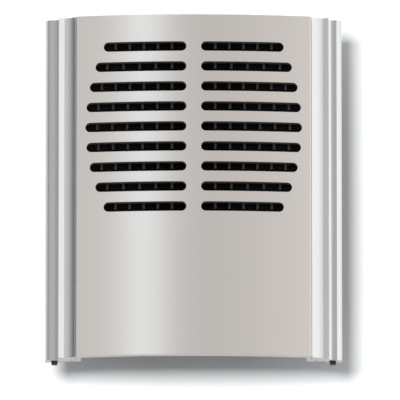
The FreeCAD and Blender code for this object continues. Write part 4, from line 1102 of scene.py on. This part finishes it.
@dataclass
class Studio:
    """White backdrop behind the module, soft lamps and the photograph's camera."""

    elevation: float = -13.5
    distance: float = 5.0
    pixels_per_metre: float = 2962.0
    frame_pixels: float = 400.0
    origin_pixel: tuple[float, float] = (193.65, 192.6)
    sensor: float = 36.0
    nearest: float = 0.05
    furthest: float = 20.0
    backdrop_gap: float = 1.0 * MM
    backdrop_half: float = 0.5
    backdrop_colour: tuple[float, float, float] = (0.440, 0.448, 0.456)
    card_distance: float = 72.0 * MM
    card_front: float = 9.0 * MM
    card_level: float = 0.95
    strip: Lamp = Lamp("front_strip", azimuth=-8.7, height=10.0, distance=1.2, size=(0.12, 1.6),
                       radiance=1.02, colour=(0.78, 0.90, 1.0))
    wall_lamp: Lamp = Lamp("wall_lamp", azimuth=-12.5, height=0.2, distance=3.0, size=(0.85, 0.7),
                           radiance=91.0)
    brightest: float = 2.0
    surroundings: tuple[tuple[float, float], ...] = (
        (-1.0, 0.08), (-0.83, 0.57), (-0.62, 0.84), (-0.33, 0.93), (-0.05, 0.76), (0.05, 0.80), (0.31, 1.01),
        (0.7, 1.40), (1.0, 1.46),
    )

    def camera(self) -> None:
        """A long lens, slightly below the module, with a small shift for the framing."""
        data = bpy.data.cameras.new("camera")
        data.sensor_width = self.sensor
        data.lens = self.pixels_per_metre * self.distance / self.frame_pixels * self.sensor
        middle = self.frame_pixels / 2
        data.shift_x = (middle - self.origin_pixel[0]) / self.frame_pixels
        data.shift_y = (self.origin_pixel[1] - middle) / self.frame_pixels
        data.clip_start = self.nearest
        data.clip_end = self.furthest
        camera = linked("camera", data)
        angle = math.radians(self.elevation)
        camera.location = (0.0, -self.distance * math.cos(angle), self.distance * math.sin(angle))
        camera.rotation_euler = (math.radians(90.0) - angle, 0.0, 0.0)
        bpy.context.scene.camera = camera

    def world(self) -> None:
        """White where the camera looks. The module gets a soft light, dim on its left side."""
        world = bpy.data.worlds.new("surroundings")
        world.use_nodes = True
        tree = Tree(world.node_tree)
        seen = tree.number("ShaderNodeLightPath", output="Is Camera Ray")
        direction = tree.add("ShaderNodeTexCoord").outputs["Generated"]
        rightward = tree.number("ShaderNodeSeparateXYZ", None, {0: direction}, "X") * 0.5 + 0.5
        stops = [(place / 2 + 0.5, (level / self.brightest,) * 3) for place, level in self.surroundings]
        light = tree.add("ShaderNodeValToRGB", {"stops": stops}, {0: rightward}).outputs["Color"]
        grey = tree.add("ShaderNodeBackground", None, {"Color": light, "Strength": self.brightest})
        white = tree.add("ShaderNodeBackground", None, {"Color": (1.0, 1.0, 1.0, 1.0), "Strength": 1.0})
        mixed = tree.add("ShaderNodeMixShader", None, {0: seen, 1: grey.outputs[0], 2: white.outputs[0]})
        tree.add("ShaderNodeOutputWorld", None, {"Surface": mixed.outputs[0]})
        bpy.context.scene.world = world

    @staticmethod
    def screen(name: str, corners: list[tuple[float, float, float]]) -> tuple[bpy.types.Object, Tree]:
        """A flat piece of the stage with four corners.

        Args:
            name: the screen's name.
            corners: its corners in order.

        Returns:
            The screen and the empty tree of its material.
        """
        mesh = bpy.data.meshes.new(name)
        mesh.from_pydata(corners, [], [(0, 1, 2, 3)])
        material, tree = new_material(name)
        mesh.materials.append(material)
        screen = linked(name, mesh)
        return screen, tree

    def backdrop(self) -> bpy.types.Object:
        """A white wall close behind the module that takes its shadow and is clear from behind.

        Returns:
            The wall.
        """
        half = self.backdrop_half
        depth = cad_high.y + self.backdrop_gap
        corners = [(-half, depth, -half), (half, depth, -half), (half, depth, half), (-half, depth, half)]
        backdrop, tree = self.screen("backdrop", corners)
        path = tree.add("ShaderNodeLightPath")
        seen = Value(tree, path.outputs["Is Camera Ray"]).larger(Value(tree, path.outputs["Is Glossy Ray"]))
        behind = tree.number("ShaderNodeNewGeometry", output="Backfacing")
        wall = tree.add("ShaderNodeBsdfDiffuse", None, {"Color": (*self.backdrop_colour, 1.0)})
        clear = tree.add("ShaderNodeBsdfTransparent")
        sockets = {0: seen * (1.0 - behind), 1: clear.outputs[0], 2: wall.outputs[0]}
        tree.surface(tree.add("ShaderNodeMixShader", None, sockets))
        return backdrop

    def card(self) -> None:
        """A low white card on the backdrop, left of the module, that only its bright metal mirrors."""
        left, half = -self.card_distance, self.backdrop_half
        front, back = -self.card_front, cad_high.y
        corners = [(left, front, -half), (left, back, -half), (left, back, half), (left, front, half)]
        card, tree = self.screen("card", corners)
        tree.surface(tree.add("ShaderNodeEmission", None, {"Strength": self.card_level}))
        card.visible_camera = False
        card.visible_diffuse = False
        card.visible_shadow = False

    def build(self) -> None:
        """Set up the view, the lamps and the surroundings, with one lamp that lights only the wall."""
        bpy.context.scene.view_settings.view_transform = "Standard"
        self.camera()
        self.strip.build()
        self.world()
        only_wall = bpy.data.collections.new("wall_only")
        only_wall.objects.link(self.backdrop())
        self.wall_lamp.build().light_linking.receiver_collection = only_wall
        self.card()


def main() -> None:
    """Build the scene in order."""
    logging.basicConfig(level=logging.INFO, format="%(name)s: %(message)s")
    Studio().build()
    wardrobe = Wardrobe()
    wardrobe.dress_nodes()
    FrontPlate(wardrobe).build()
    for side in (-1, 1):
        SideRail(wardrobe, side).build()
    for width, nodes in SOFT_EDGES.items():
        for node in nodes:
            Softened(wardrobe, node, width).build()


if __name__ == "__main__":
    main()
